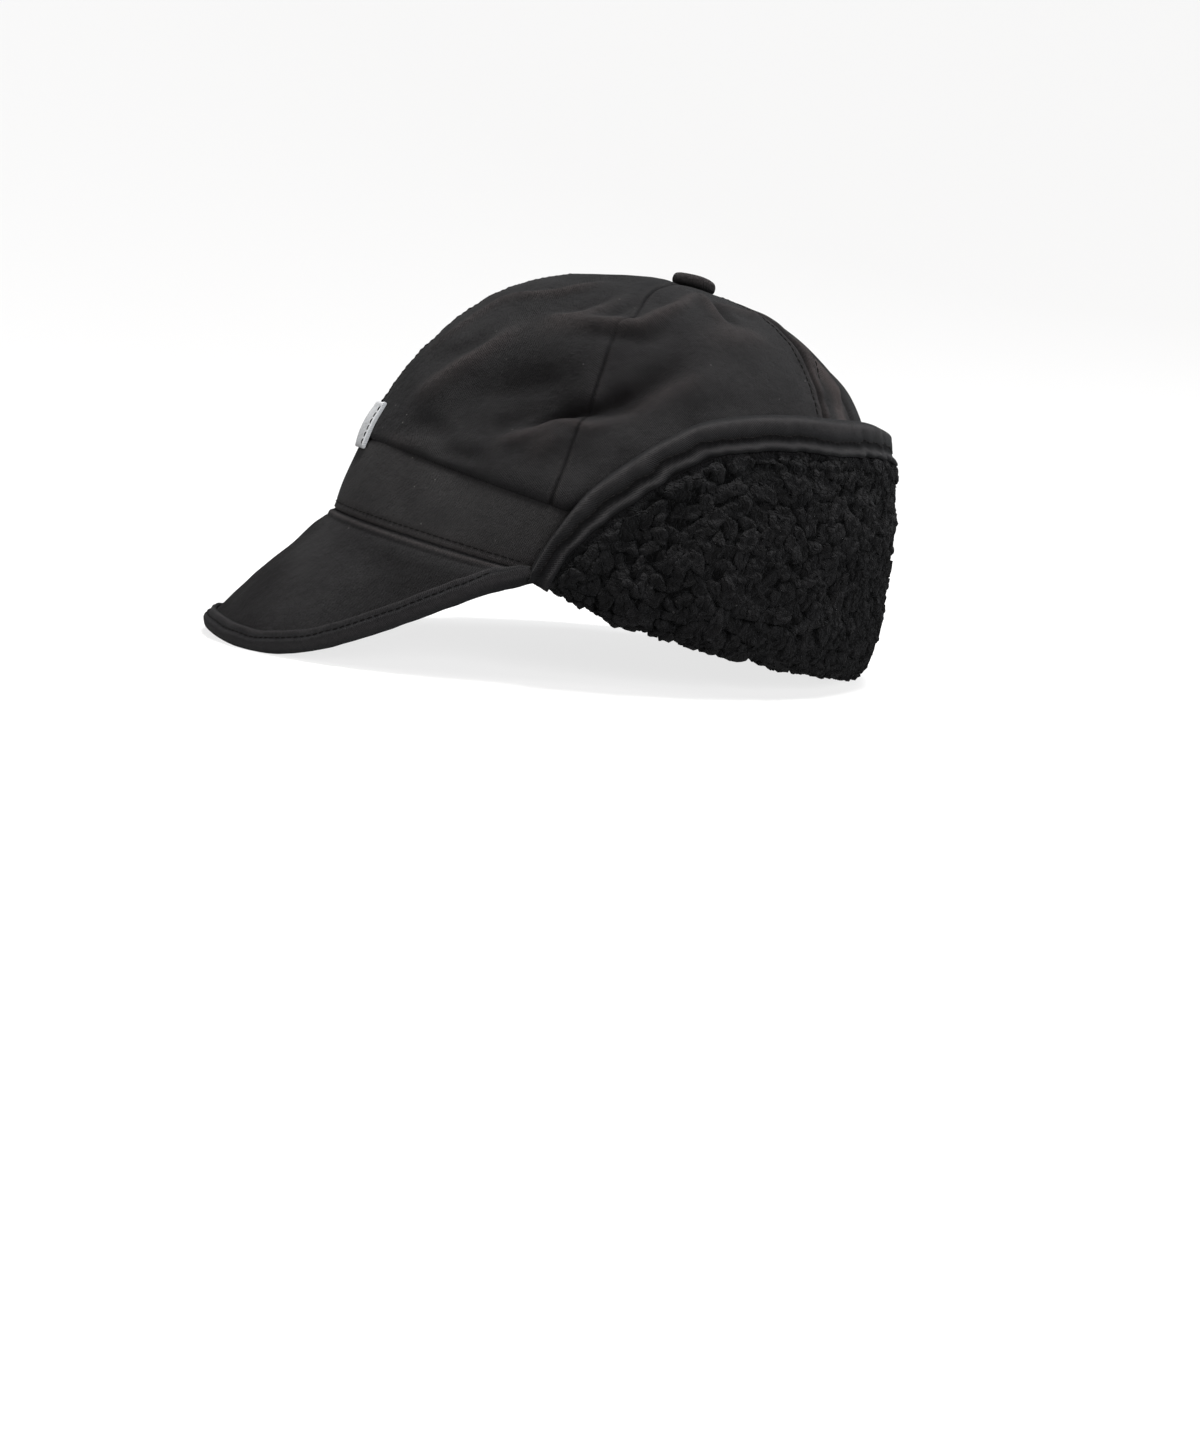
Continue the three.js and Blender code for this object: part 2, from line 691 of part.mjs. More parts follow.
function flapTape() {
  const outer = [];
  const inner = [];
  for (let i = 0; i <= tapeColumns; i += 1) {
    const share = i / tapeColumns;
    const edge = flapEdge.getPointAt(share);
    const along = flapEdge.getTangentAt(share);
    const shrink = crownScale(edge.y);
    const down = new THREE.Vector2(along.y, -along.x * shrink).normalize();
    const fromEnd = Math.min(share, 1 - share) * edgeLength;
    const sag = tapeFrontDrop * Math.exp(-Math.pow(fromEnd / tapeFrontDropLength, 2));
    const flat = flapShellWall + flapLayerGap + fleecePileAtEdge + gapToNeighbour + tapeSlack;
    const inside = -gapToNeighbour - tapeSlack;
    const place = (back, depth) => {
      const angle = (edge.x + (down.x * back) / shrink) / angleToLength;
      const height = edge.y + down.y * back;
      const drop = depth >= flat * 0.6 ? sag : 0;
      return crownPoint(angle, height - drop, flapInside(angle, height) + depth);
    };
    outer.push([
      ...tapeLegTable.map((row) => place(tapeLegOutside * row.back, flat + tapeWall * row.stand)),
      place(0, flat * tapeFoldOutside),
      place(0, inside * tapeFoldInside),
      place(tapeWall, inside - tapeWall),
      place(tapeLegInside, inside - tapeWall),
    ]);
    inner.push([
      ...tapeLegTable.map((row) => place(tapeLegOutside * row.back, flat)),
      place(tapeWall, flat * tapeFoldOutside),
      place(tapeWall, inside),
      place(tapeLegInside * tapeFlatInside, inside),
      place(tapeLegInside, inside),
    ]);
  }
  return sheetBetween(outer, inner, false);
}

addPiece('earflap_binding', flapTape(), materials.tape);

// Button where the gores meet

const buttonProfile = [
  { radius: 0, height: 0 },
  { radius: 0.82, height: 0 },
  { radius: 1, height: 0.3 },
  { radius: 0.97, height: 0.68 },
  { radius: 0.78, height: 0.94 },
  { radius: 0.4, height: 1.02 },
  { radius: 0, height: 1.05 },
];
const buttonSides = 16;
const buttonGeometry = new THREE.LatheGeometry(
  buttonProfile.map((row) => new THREE.Vector2(row.radius * buttonRadius, row.height * buttonThickness)),
  buttonSides,
);
buttonGeometry.rotateX(Math.PI / 2);
const button = addPiece('top_button', buttonGeometry, materials.twill);
button.position.set(0, -buttonForward, crownHeight + gapToNeighbour);

// Blank label above the band at the centre front

const labelColumns = 6;
const labelRows = 5;

function labelTab() {
  const outer = [];
  const inner = [];
  for (let i = 0; i <= labelColumns; i += 1) {
    const across = i / labelColumns - 0.5;
    const outerColumn = [];
    const innerColumn = [];
    for (let j = 0; j <= labelRows; j += 1) {
      const up = j / labelRows;
      const angle = ((across * labelWidth) / rimHalfWidth) / degree;
      const height = bandTop(0) - labelLap + labelHeight * up;
      const bulge = labelBulge * Math.sin(up * Math.PI) * (1 - 4 * across * across);
      const place = crownPoint(angle, height);
      const normal = crownNormal(angle, height);
      const offset = clothRelief(angle, height) + gapToNeighbour + labelSeat;
      innerColumn.push(place.clone().addScaledVector(normal, offset));
      outerColumn.push(place.clone().addScaledVector(normal, offset + labelWall + bulge));
    }
    outer.push(outerColumn);
    inner.push(innerColumn);
  }
  return sheetBetween(outer, inner, false);
}

addPiece('front_label', labelTab(), materials.label);

// The cap stands on z = 0 with the origin under the middle of its box
cap.rotation.x = -restTilt * degree;
cap.position.z = -restLevel;
cap.updateMatrixWorld(true);
const box = new THREE.Box3().setFromObject(cap, true);
cap.position.y = -(box.min.y + box.max.y) / 2;

export default cap;
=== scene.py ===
import math
import bpy
import numpy as np
from mathutils import Matrix, Vector, kdtree


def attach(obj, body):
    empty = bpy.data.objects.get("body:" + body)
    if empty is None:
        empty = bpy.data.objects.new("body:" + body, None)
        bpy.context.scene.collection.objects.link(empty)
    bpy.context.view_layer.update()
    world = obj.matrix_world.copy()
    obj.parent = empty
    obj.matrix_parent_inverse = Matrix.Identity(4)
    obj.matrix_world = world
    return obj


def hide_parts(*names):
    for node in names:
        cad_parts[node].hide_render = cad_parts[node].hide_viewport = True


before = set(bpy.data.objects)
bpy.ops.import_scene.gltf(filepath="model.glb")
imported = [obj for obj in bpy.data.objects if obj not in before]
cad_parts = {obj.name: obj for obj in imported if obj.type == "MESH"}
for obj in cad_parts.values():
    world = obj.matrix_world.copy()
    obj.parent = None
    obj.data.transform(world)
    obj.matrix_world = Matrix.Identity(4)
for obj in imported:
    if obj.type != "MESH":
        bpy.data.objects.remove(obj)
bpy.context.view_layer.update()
print("cap: frame loaded")

# Places on the cap are an angle round the head (0 at the centre front, 90 at the wearer's left, 180 at the
# nape), a height above the rim and an offset outward from the crown's cloth, in degrees and millimetres.
stance = {
    "tilt": 11.0,              # nose-up tilt of the rim where the cap rests
    "rimRise": 27.1,           # the rim's centre above the floor
    "rimBack": 20.41,          # and behind the origin
}
crown = {
    "halfLength": 104.0,
    "halfWidth": 85.8,
    "height": 108.4,
    "squareness": 2.49,
    "lean": 0.108,
    "napeTuck": 9.0,
    "napeTuckTop": 75.0,
    "napeTuckSpread": 1.4,
    "wall": 2.0,
    "seamGap": 0.3,            # between the gores and the band
    "seamLap": 0.02,           # how far two gores' edges run into each other
    "overhang": 1.3,           # the gores puff over the band's top seam
    "overhangRise": 5.0,
    "overhangSpread": 6.0,
    "apexRadius": 4.0,
    "frontSeam": 62.5,
    "backSeam": 122.0,
    "columnSpacing": 1.25,
    "rows": 104,
    "foldDepth": 1.8,          # strength of the fine folds
    "fullness": 1.6,           # and of the fuller and hollower parts
    "softSwell": 0.35,         # slack of the cloth between its seams
    "softSwellSize": 34,
    "fineSwell": 0.12,
    "fineSwellSize": 13,
    "frontEase": (8, 36),      # degrees from the centre front over which the puff and the seam below it grow
    "puffAtFront": 0.4,        # share of the puff that the centre front has
    "seamAtFront": 0.3,        # and of the seam's depth
}
band = {
    "heightSide": 20.0,
    "extraFront": 6.5,
    "wall": 2.2,
    "columns": 380,
    "rows": 26,
    "swell": 0.35,
    "swellSize": 30,
    "fineSwell": 0.10,
    "fineSwellSize": 9,
    "bow": 0.25,               # how far its middle stands out
    "topLine": (-0.45, 0.05),  # lines along it, as strength, width and place, this one in shares of height
    "stitchDent": (-0.24, 0.6),
    "paleFoot": (0.3, 0.9),
    "paleLine": (0.1, 1.2, 3.0),
    # painted shade under the gores' overhang and along the stitches
    "darkTop": (0.7, 1.4),
    "darkStitch": (0.3, 0.5),
    "pressed": -0.12,          # its relief under the flap
    "stitchFromEdge": 1.9,
    "stitchTo": 62,            # degrees from the centre front to which the stitches run
}
random = np.random.default_rng(11)
degree = math.pi / 180


def smoothStep(low, high, value):
    t = np.clip((value - low) / (high - low), 0, 1)
    return t * t * (3 - 2 * t)


# Grows from a least share up to 1 between two values
def rampUp(least, low, high, value):
    return least + (1 - least) * smoothStep(low, high, value)


def hump(distance, width):
    return np.exp(-(distance / width) ** 2)


# A soft line, by its strength, its width and the distance at which it lies
def stripe(distance, strength, width, at=0):
    return strength * hump(distance - at, width)


def foldedAngle(angle):
    turned = np.mod(angle, 360)
    return np.where(turned > 180, 360 - turned, turned)


def unit(vectors):
    length = np.linalg.norm(vectors, axis=-1, keepdims=True)
    return vectors / np.maximum(length, 1e-9)


# Soft unevenness between about -1 and 1, with lumps of a given size in millimetres
def unevenness(points, size, seed, waves=14):
    draw = np.random.default_rng(seed)
    directions = unit(draw.normal(size=(waves, 3)))
    lengths = size * draw.uniform(0.75, 1.5, waves)
    phases = draw.uniform(0, 2 * math.pi, waves)
    total = np.zeros(points.shape[:-1])
    for direction, length, phase in zip(directions, lengths, phases):
        total += np.sin(points @ direction * (2 * math.pi / length) + phase)
    return total / math.sqrt(waves)


# The crown's plain form

def crownScale(height):
    q = np.clip(np.asarray(height, float) / crown["height"], 0, 1)
    power = crown["squareness"]
    return (1 - crown["lean"] * q) * (1 - q ** power) ** (1 / power)


def crownPoint(angle, height, outward=0.0):
    angle, height, outward = np.broadcast_arrays(*(np.asarray(v, float) for v in (angle, height, outward)))
    a = angle * degree
    scale = crownScale(height)
    nx = np.sin(a) / crown["halfWidth"]
    ny = -np.cos(a) / crown["halfLength"]
    length = np.hypot(nx, ny)
    atNape = np.maximum(-np.cos(a), 0) ** crown["napeTuckSpread"]
    up = np.maximum(height, 0) / crown["napeTuckTop"]
    offset = outward - crown["napeTuck"] * np.maximum(1 - up * up, 0) * atNape
    x = crown["halfWidth"] * np.sin(a) * scale + nx / length * offset
    y = -crown["halfLength"] * np.cos(a) * scale + ny / length * offset
    return np.stack([x, y, height], -1)


def crownNormal(angle, height, step=0.5):
    height = np.minimum(height, crown["height"] - 1)
    sideways = crownPoint(angle + step, height) - crownPoint(angle - step, height)
    upward = crownPoint(angle, height + step) - crownPoint(angle, height - step)
    return unit(np.cross(sideways, upward))


def bandTop(angle):
    front = np.maximum(np.cos(np.asarray(angle, float) * degree), 0)
    return band["heightSide"] + band["extraFront"] * front * front


# Big soft creases and swells: from angle, height, to angle, height, width, relief
bigCreases = [
    (48, 42, 60, 53, 5, -2.6),
    (60, 53, 70, 60, 6, -2.2),
    (70, 60, 82, 77, 7, -1.4),
    (48, 35, 60, 45, 7, 1.4),
    (64, 46, 84, 72, 7, 1.2),
    (40, 88, 70, 96, 9, -0.7),
    (-50, 101, 30, 102, 13, -1.1),
    (165, 86, 178, 100, 12, 1.2),
    (5, 52, 20, 84, 15, 1.2),
    (140, 84, 120, 99, 14, 1.1),
    (46, 60, 50, 63, 11, -1.4),
    (20, 46, 35, 68, 10, 0.9),
    (-40, 38, -58, 56, 7, -1.8),
    (-58, 56, -72, 64, 9, -1.0),
    (-50, 70, -72, 88, 10, 1.0),
    (-18, 50, -30, 72, 10, 0.8),
    (140, 88, 152, 98, 10, -1.0),
    (-128, 84, -146, 92, 10, -1.0),
]
# Fuller and hollower parts of the cloth, in the same columns
fullness = [
    (-16, 45, -8, 84, 19, 0.4),
    (38, 50, 56, 60, 9, -1.1),
    (24, 33, 34, 38, 8, -0.8),
    (66, 70, 74, 82, 9, -0.9),
    (84, 74, 100, 84, 10, 0.7),
    (48, 66, 58, 76, 9, 0.8),
    (-44, 52, -56, 64, 9, -1.2),
    (-56, 105, 8, 105.8, 8, -1.2),
    (164, 78, 196, 90, 13, -1.2),
    (-84, 76, -100, 84, 10, 0.7),
]
# Finer folds on top of them, each a line of places: angle, height, width, relief
fineFolds = {
    "sharp crease": [
        (53, 43.5, 1.3, -0.3), (54.5, 45, 1.4, -1.3), (55.5, 46.5, 1.5, -1.8), (57, 49, 1.7, -2.1),
        (58.5, 51, 2.0, -2.1), (60, 53, 2.8, -1.9), (62.5, 54.5, 4.0, -1.7), (66, 55.5, 5.0, -1.6),
        (69.5, 59.5, 5.2, -1.5), (72.5, 64, 5.2, -1.4), (75, 68.5, 5.0, -1.2), (78, 72.5, 5.0, -0.8),
        (82, 76.5, 5.0, -0.1),
    ],
    "lit lip under it": [
        (48.5, 35, 2.4, 0.1), (51.5, 38.5, 2.2, 0.9), (53.5, 40, 2.0, 1.0), (55.5, 42.5, 1.8, 1.1),
        (57, 45, 1.8, 1.1), (58.5, 47.5, 1.8, 0.8), (61, 48.5, 2.4, 0.4), (66, 48.5, 3.0, 0.6),
        (70, 53.5, 3.4, 0.8), (74.5, 61, 3.8, 0.8), (80.5, 69.5, 4.2, 0.6), (85, 74, 4.5, 0.1),
    ],
    "hollow above it": [
        (40, 51.5, 5.5, -0.2), (43.5, 54, 5.5, -0.8), (47.5, 57.5, 5.5, -0.7), (51.5, 60.5, 5.5, -0.8),
        (56, 64, 5.5, -0.2),
    ],
    "ridge below the crease": [
        (56.5, 33, 3.4, 0.1), (57.5, 38, 3.0, 0.5), (59, 42, 3.0, 0.5), (60, 46, 3.0, 0.1),
    ],
    "ridge from the button": [
        (80, 103.5, 2.4, 0.3), (74.5, 96.5, 2.4, 0.9), (71, 92.5, 2.4, 1.1), (68, 88.3, 2.4, 1.2),
        (65.5, 85.5, 2.4, 1.2), (61, 84.2, 2.4, 1.1), (57, 82.5, 2.6, 1.1), (53.5, 81.5, 2.8, 1.0),
        (50, 80, 3.2, 0.8), (46, 77, 3.6, 0.5), (41, 73, 4.0, 0.1),
    ],
    "trough under it": [
        (74, 88.5, 3.0, -0.2), (71, 84, 3.2, -0.9), (67.5, 81.5, 3.2, -1.1), (63, 80.4, 3.4, -1.1),
        (57.5, 78.5, 3.8, -0.9), (52, 76.4, 4.4, -0.5), (46, 73.5, 5.0, -0.1),
    ],
    "second ridge": [
        (40, 78.5, 2.8, 0.1), (43.5, 80, 2.6, 0.8), (47.5, 81.7, 2.6, 0.8), (50.5, 84.5, 2.6, 0.7),
        (52.5, 88, 2.8, 0.6), (54, 92.5, 3.0, 0.4), (55.5, 97, 3.0, 0.1),
    ],
    "valley between them": [
        (54.5, 84.5, 2.2, -0.1), (57, 87, 2.4, -0.7), (59, 91, 2.6, -0.7), (61, 95.5, 2.6, -0.1),
    ],
    "valley above them": [
        (43, 83.5, 2.8, -0.1), (46, 86.5, 2.8, -0.6), (48.5, 90.5, 2.8, -0.5), (50, 95, 2.8, -0.1),
    ],
    "line along the front": [
        (10, 57, 2.2, 0.1), (13, 63, 2.0, 0.6), (17, 70.5, 2.0, 0.8), (18, 75.5, 2.0, 0.9),
        (20, 81, 2.0, 0.9), (25, 84.5, 2.0, 1.0), (30.5, 87.3, 2.0, 1.0), (34.5, 90.5, 2.0, 1.0),
        (37, 94.5, 2.0, 0.9), (40, 99, 2.0, 0.2),
    ],
    "front valley": [
        (18, 57.5, 4.5, -0.3), (23.5, 61, 4.5, -0.9), (26.5, 64.5, 4.2, -1.0), (29, 68.5, 4.0, -0.9),
        (30, 73, 4.0, -0.2),
    ],
    "front ridge": [
        (20.5, 42.5, 3.6, 0.2), (23.5, 46, 3.4, 0.8), (27, 51.5, 3.2, 1.0), (29.5, 56, 3.0, 1.1),
        (32, 60, 3.0, 1.1), (34, 64.5, 3.0, 1.0), (36, 69, 3.2, 0.8), (37, 74, 3.4, 0.2),
    ],
    "dent by the label": [
        (22, 37.5, 4.0, -0.1), (25, 36.8, 3.8, -0.7), (29.5, 35.5, 3.6, -0.9), (35, 33.8, 3.4, -0.8),
        (40, 32, 3.0, -0.2),
    ],
    "pocket at the band": [
        (35, 28.5, 2.8, -0.2), (39, 29, 2.8, -1.1), (43, 29.2, 2.8, -1.0), (49, 29.2, 3.0, -0.1),
    ],
    "puff at the band": [(16, 27, 3.6, 0.1), (22, 27, 3.6, 0.45), (28, 28, 3.6, 0.4), (33, 29, 3.6, 0.1)],
    "short button fold": [
        (82, 104, 1.8, 0.2), (85, 100.5, 1.8, 0.9), (87, 98, 1.8, 1.0), (89.5, 95, 2.0, 0.7),
        (92, 92.5, 2.2, 0.1),
    ],
    "dent beside it": [
        (88, 102.5, 2.0, -0.2), (91, 99.5, 2.2, -0.8), (94, 97, 2.4, -0.7), (98, 95.5, 2.6, -0.1),
    ],
    "ridge toward the back seam": [
        (87, 103, 1.8, 0.2), (95.5, 101.8, 1.8, 0.8), (107, 102, 1.8, 0.9), (118, 103, 1.8, 0.2),
    ],
    "side swell": [(85, 88, 4.4, 0.2), (92.5, 91, 4.4, 0.8), (99.5, 92.5, 4.4, 0.8), (108, 92.5, 4.6, 0.1)],
    "dent under it": [(86, 81, 5.0, -0.1), (95, 84, 5.0, -0.5), (104, 85.5, 5.0, -0.1)],
    "ridge by the back seam": [
        (124.5, 97, 1.8, 0.4), (126, 91.5, 2.2, 1.1), (129, 87, 2.6, 1.4), (131, 83.5, 2.8, 1.5),
        (131, 78, 2.8, 1.5), (131, 71, 2.8, 0.7),
    ],
    "groove beside it": [
        (134, 98, 2.2, -0.3), (137, 94.5, 2.4, -1.3), (139.5, 88.5, 2.4, -1.6), (138.5, 82, 2.4, -1.6),
        (138, 75, 2.4, -0.8),
    ],
    "nape fold": [(172, 90, 4.5, 0.1), (186, 94, 4.5, 0.5), (200, 98, 4.5, 0.1)],
    "right crease": [
        (-41, 39, 1.7, -0.2), (-46, 44, 1.9, -1.3), (-52, 50, 2.4, -1.3), (-59, 55.5, 3.2, -0.8),
        (-67, 60, 3.8, -0.1),
    ],
    "right lip": [(-36, 33.5, 3.0, 0.1), (-42, 38, 2.6, 0.7), (-50, 44, 2.6, 0.7), (-58, 48, 3.2, 0.1)],
    "right streak": [(-18, 76, 4.2, 0.1), (-30, 81, 4.0, 0.5), (-42, 86, 4.0, 0.5), (-54, 93, 3.6, 0.1)],
    "right button fold": [
        (-68, 88, 3.0, 0.1), (-66, 93, 2.8, 0.7), (-64, 98, 2.8, 0.6), (-66, 104, 2.8, 0.1),
    ],
    "right swell": [(-88, 86, 5.0, 0.1), (-97, 89, 5.0, 0.5), (-106, 93, 5.0, 0.4), (-114, 96, 5.0, 0.1)],
    "right pocket": [(-25, 25.6, 3.4, -0.1), (-31, 28, 3.4, -0.7), (-38, 31, 3.6, -0.1)],
    "right back fold": [
        (-140, 88, 4.0, 0.1), (-150, 92, 4.0, 0.5), (-162, 98, 4.0, 0.4), (-172, 103, 4.0, 0.1),
    ],
}
foldPath = {
    "reach": 26,               # millimetres beyond which a fold isn't felt
    "stepsPerStop": 4,         # places worked out for each of its stops
}


def foldRelief(points, normals, table):
    total = np.zeros(points.shape[:-1])
    for fromAngle, fromHeight, toAngle, toHeight, width, relief in table:
        start = crownPoint(fromAngle, fromHeight)
        along = crownPoint(toAngle, toHeight) - start
        away = points - start
        t = np.clip(away @ along / (along @ along), 0, 1)
        away = away - t[..., None] * along
        away = away - np.sum(away * normals, -1, keepdims=True) * normals
        total += relief * np.exp(-np.sum(away * away, -1) / width ** 2)
    return total


# Relief of the finer folds, or of the ridges or the creases alone, by the sign that is wanted. The nearest
# place on a fold's line gives its width and depth.
def fineRelief(points, normals, wanted=(-1, 1)):
    total = np.zeros(points.shape[:-1])
    for fold in fineFolds.values():
        if np.sign(fold[1][3]) not in wanted:
            continue
        stops = np.array(fold, float)
        places = smoothPath(crownPoint(stops[:, 0], stops[:, 1]), foldPath["stepsPerStop"] * len(stops))
        spread = np.linspace(0, len(stops) - 1, len(places))
        widths = np.interp(spread, np.arange(len(stops)), stops[:, 2])
        reliefs = np.interp(spread, np.arange(len(stops)), stops[:, 3])
        squares = np.sum((points[..., None, :] - places[::foldPath["stepsPerStop"]]) ** 2, -1)
        nearby = np.min(squares, -1) < foldPath["reach"] ** 2
        here = points[nearby]
        hereNormal = normals[nearby]
        best = np.full(len(here), 1e9)
        relief = np.zeros(len(here))
        for k in range(len(places) - 1):
            along = places[k + 1] - places[k]
            away = here - places[k]
            t = np.clip(away @ along / (along @ along), 0, 1)
            away = away - t[:, None] * along
            away = away - np.sum(away * hereNormal, -1, keepdims=True) * hereNormal
            square = np.sum(away * away, -1)
            nearer = square < best
            width = widths[k] * (1 - t) + widths[k + 1] * t
            depth = reliefs[k] * (1 - t) + reliefs[k + 1] * t
            relief = np.where(nearer, depth * np.exp(-square / width ** 2), relief)
            best = np.where(nearer, square, best)
        total[nearby] += relief
    return total


# The flap's upper edge: angle, height
flapEdgeTable = [
    (64.1, 1.6), (66.4, 14.1), (69.8, 28.8), (74.9, 40.9), (80.1, 50.6), (86.1, 58.8),
    (93.2, 64.2), (105.5, 70.0), (121.9, 74.6), (137.8, 78.0), (160.0, 79.8), (180.0, 80.2),
]
flapHold = {                   # where the flap starts and ends to hold the crown down
    "side": (-1, 3),           # degrees from its first column
    "above": (2, 9),           # millimetres above its edge
}


def flapTop(angle):
    columns = np.array(flapEdgeTable)
    return np.interp(foldedAngle(angle), columns[:, 0], columns[:, 1])


def flapCover(angle, height):
    beside = smoothStep(*flapHold["side"], foldedAngle(angle) - flapEdgeTable[0][0])
    above = smoothStep(*flapHold["above"], height - flapTop(angle))
    return beside * (1 - above)


def clothRelief(angle, height, fine=True):
    points = crownPoint(angle, height)
    normals = crownNormal(angle, height)
    rise = height - bandTop(angle) - crown["overhangRise"]
    puff = rampUp(crown["puffAtFront"], *crown["frontEase"], foldedAngle(angle))
    relief = puff * stripe(rise, crown["overhang"], crown["overhangSpread"])
    relief = relief + foldRelief(points, normals, bigCreases)
    if fine:
        relief += crown["foldDepth"] * fineRelief(points, normals)
        relief += crown["fullness"] * foldRelief(points, normals, fullness)
        relief += crown["softSwell"] * unevenness(points, crown["softSwellSize"], 3)
        relief += crown["fineSwell"] * unevenness(points, crown["fineSwellSize"], 4)
    return np.where(relief > 0, relief * (1 - flapCover(angle, height)), relief)


# From the cap's own millimetres to metres in the row's frame, with nothing below the floor
def toWorld(points):
    c = math.cos(stance["tilt"] * degree)
    s = math.sin(stance["tilt"] * degree)
    x, y, z = points[..., 0], points[..., 1], points[..., 2]
    back = y * c + z * s + stance["rimBack"]
    up = np.maximum(-y * s + z * c + stance["rimRise"], 0)
    return np.stack([x, back, up], -1) * 0.001


# Distances along a line of points, from its start to each of them
def runLength(points):
    return np.concatenate([[0], np.cumsum(np.linalg.norm(np.diff(points, axis=0), axis=1))])


# Values given at a line's points, read at distances along it
def readLine(values, length, at):
    return np.stack([np.interp(at, length, values[:, k]) for k in range(values.shape[1])], -1)


# A line with one more point straight on from each end
def withEnds(points):
    return np.concatenate([2 * points[:1] - points[1:2], points, 2 * points[-1:] - points[-2:-1]])


# A smooth path through a few points, with evenly spaced points on it
def smoothPath(points, count):
    points = np.asarray(points, float)
    padded = withEnds(points)
    dense = []
    t = np.linspace(0, 1, 13)[:-1, None]     # twelve steps between two points
    for p0, p1, p2, p3 in zip(padded[:-3], padded[1:-2], padded[2:-1], padded[3:]):
        bend = (2 * p0 - 5 * p1 + 4 * p2 - p3) * t ** 2 + (3 * p1 - p0 - 3 * p2 + p3) * t ** 3
        dense.append(0.5 * (2 * p1 + (p2 - p0) * t + bend))
    dense = np.concatenate(dense + [points[-1:]])
    length = runLength(dense)
    return readLine(dense, length, np.linspace(0, length[-1], count))


# A mesh with smooth faces, apart from the last few
def newMesh(name, verts, faces, flatFaces=0):
    mesh = bpy.data.meshes.new(name)
    mesh.from_pydata(verts, [], faces)
    smooth = [True] * (len(faces) - flatFaces) + [False] * flatFaces
    mesh.polygons.foreach_set("use_smooth", smooth)
    return mesh


# The faces that close a strip of cloth at its first and last column
def stripEnds(columns, ringSize, outerRows, innerRows, hemSteps):
    innerFoot = ringSize - hemSteps - 1
    for column, order in ((0, 1), (columns - 1, -1)):
        ends = [[outerRows - 1 + k for k in range(hemSteps + 2)]]
        ends.append([innerFoot + k for k in range(hemSteps + 1)] + [0])
        for j in range(outerRows - 1):
            low = round(j * (innerRows - 1) / (outerRows - 1))
            high = round((j + 1) * (innerRows - 1) / (outerRows - 1))
            ends.append([j, j + 1, innerFoot - high] + [innerFoot - low] * (low != high))
        for face in ends:
            yield [column * ringSize + k for k in face][::order]


# A closed cloth body from its outer and inner skins, grids of columns by rows, with rounded hems
def clothBody(name, outer, inner, isLoop, marks, hemSteps=3, hemBulge=0.35):
    columns, outerRows = outer.shape[:2]
    innerRows = inner.shape[1]
    t = (np.arange(1, hemSteps + 1) / (hemSteps + 1))[None, :, None]

    def hem(fromPoint, toPoint, before):
        direction = unit(fromPoint - before)[:, None, :]
        reach = np.linalg.norm(toPoint - fromPoint, axis=-1)[:, None, None] * hemBulge
        straight = fromPoint[:, None, :] * (1 - t) + toPoint[:, None, :] * t
        return straight + direction * reach * np.sin(math.pi * t)

    top = hem(outer[:, -1], inner[:, -1], outer[:, -2])
    foot = hem(inner[:, 0], outer[:, 0], inner[:, 1])
    ring = np.concatenate([outer, top, inner[:, ::-1], foot], axis=1)
    ringSize = ring.shape[1]
    c = np.arange(columns if isLoop else columns - 1)[:, None]
    r = np.arange(ringSize)[None, :]
    nextC = (c + 1) % columns
    nextR = (r + 1) % ringSize
    corners = [(c, r), (nextC, r), (nextC, nextR), (c, nextR)]
    quads = np.stack([a * ringSize + b for a, b in corners], -1).reshape(-1, 4)
    faces = quads.tolist()
    if not isLoop:
        faces += stripEnds(columns, ringSize, outerRows, innerRows, hemSteps)
    world = toWorld(ring).reshape(-1, 3)
    a, b, d, e = (world[quads[:, k]] for k in range(4))
    volume = np.sum(a * np.cross(b, d)) + np.sum(a * np.cross(d, e))
    if volume < 0:
        faces = [face[::-1] for face in faces]
    mesh = newMesh(name, world.tolist(), faces, len(faces) - len(quads))

    def spread(outerValues, innerValues):
        shape = (columns, hemSteps) + outerValues.shape[2:]
        lastOuter = np.broadcast_to(outerValues[:, -1:], shape)
        firstOuter = np.broadcast_to(outerValues[:, :1], shape)
        return np.concatenate([outerValues, lastOuter, innerValues[:, ::-1], firstOuter], axis=1)

    for key, values in marks.items():
        values = np.broadcast_to(values, (columns, outerRows))
        addValues(mesh, key, spread(values, np.zeros((columns, innerRows))))
    addValues(mesh, "cloth", spread(gridLengths(outer), gridLengths(inner)), "FLOAT_VECTOR")
    return mesh


# Stores values that the materials read, one for each point of a mesh
def addValues(mesh, key, values, kind="FLOAT"):
    layer = mesh.attributes.new(key, kind, "POINT")
    field = "vector" if kind == "FLOAT_VECTOR" else "value"
    layer.data.foreach_set(field, np.asarray(values).reshape(-1).astype(np.float32))


# Lengths along a grid's columns and rows in millimetres, which the weave follows
def gridLengths(grid):
    sideways = np.linalg.norm(np.diff(grid, axis=0), axis=-1)
    middle = np.mean(sideways, axis=1)
    across = np.concatenate([[0], np.cumsum(middle)])
    steps = np.linalg.norm(np.diff(grid, axis=1), axis=-1)
    up = np.concatenate([np.zeros((grid.shape[0], 1)), np.cumsum(steps, axis=1)], axis=1)
    return np.stack([np.broadcast_to(across[:, None], up.shape), up, np.zeros_like(up)], -1)


def addObject(name, data):
    made = bpy.data.objects.new(name, data)
    bpy.context.scene.collection.objects.link(made)
    return made


def makePiece(name, mesh, material, nodes=()):
    piece = addObject(name, mesh)
    mesh.materials.append(material)
    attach(piece, "root")
    if nodes:
        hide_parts(*nodes)
    return piece


# Sewn thread: short round stitches along lines of points with their outward normals

thread = {
    "stitch": 2.5,             # millimetres from hole to hole
    "gap": 0.55,
    "radius": 0.21,
    "sides": 6,
    "proud": 0.06,
    "bow": 0.16,
}
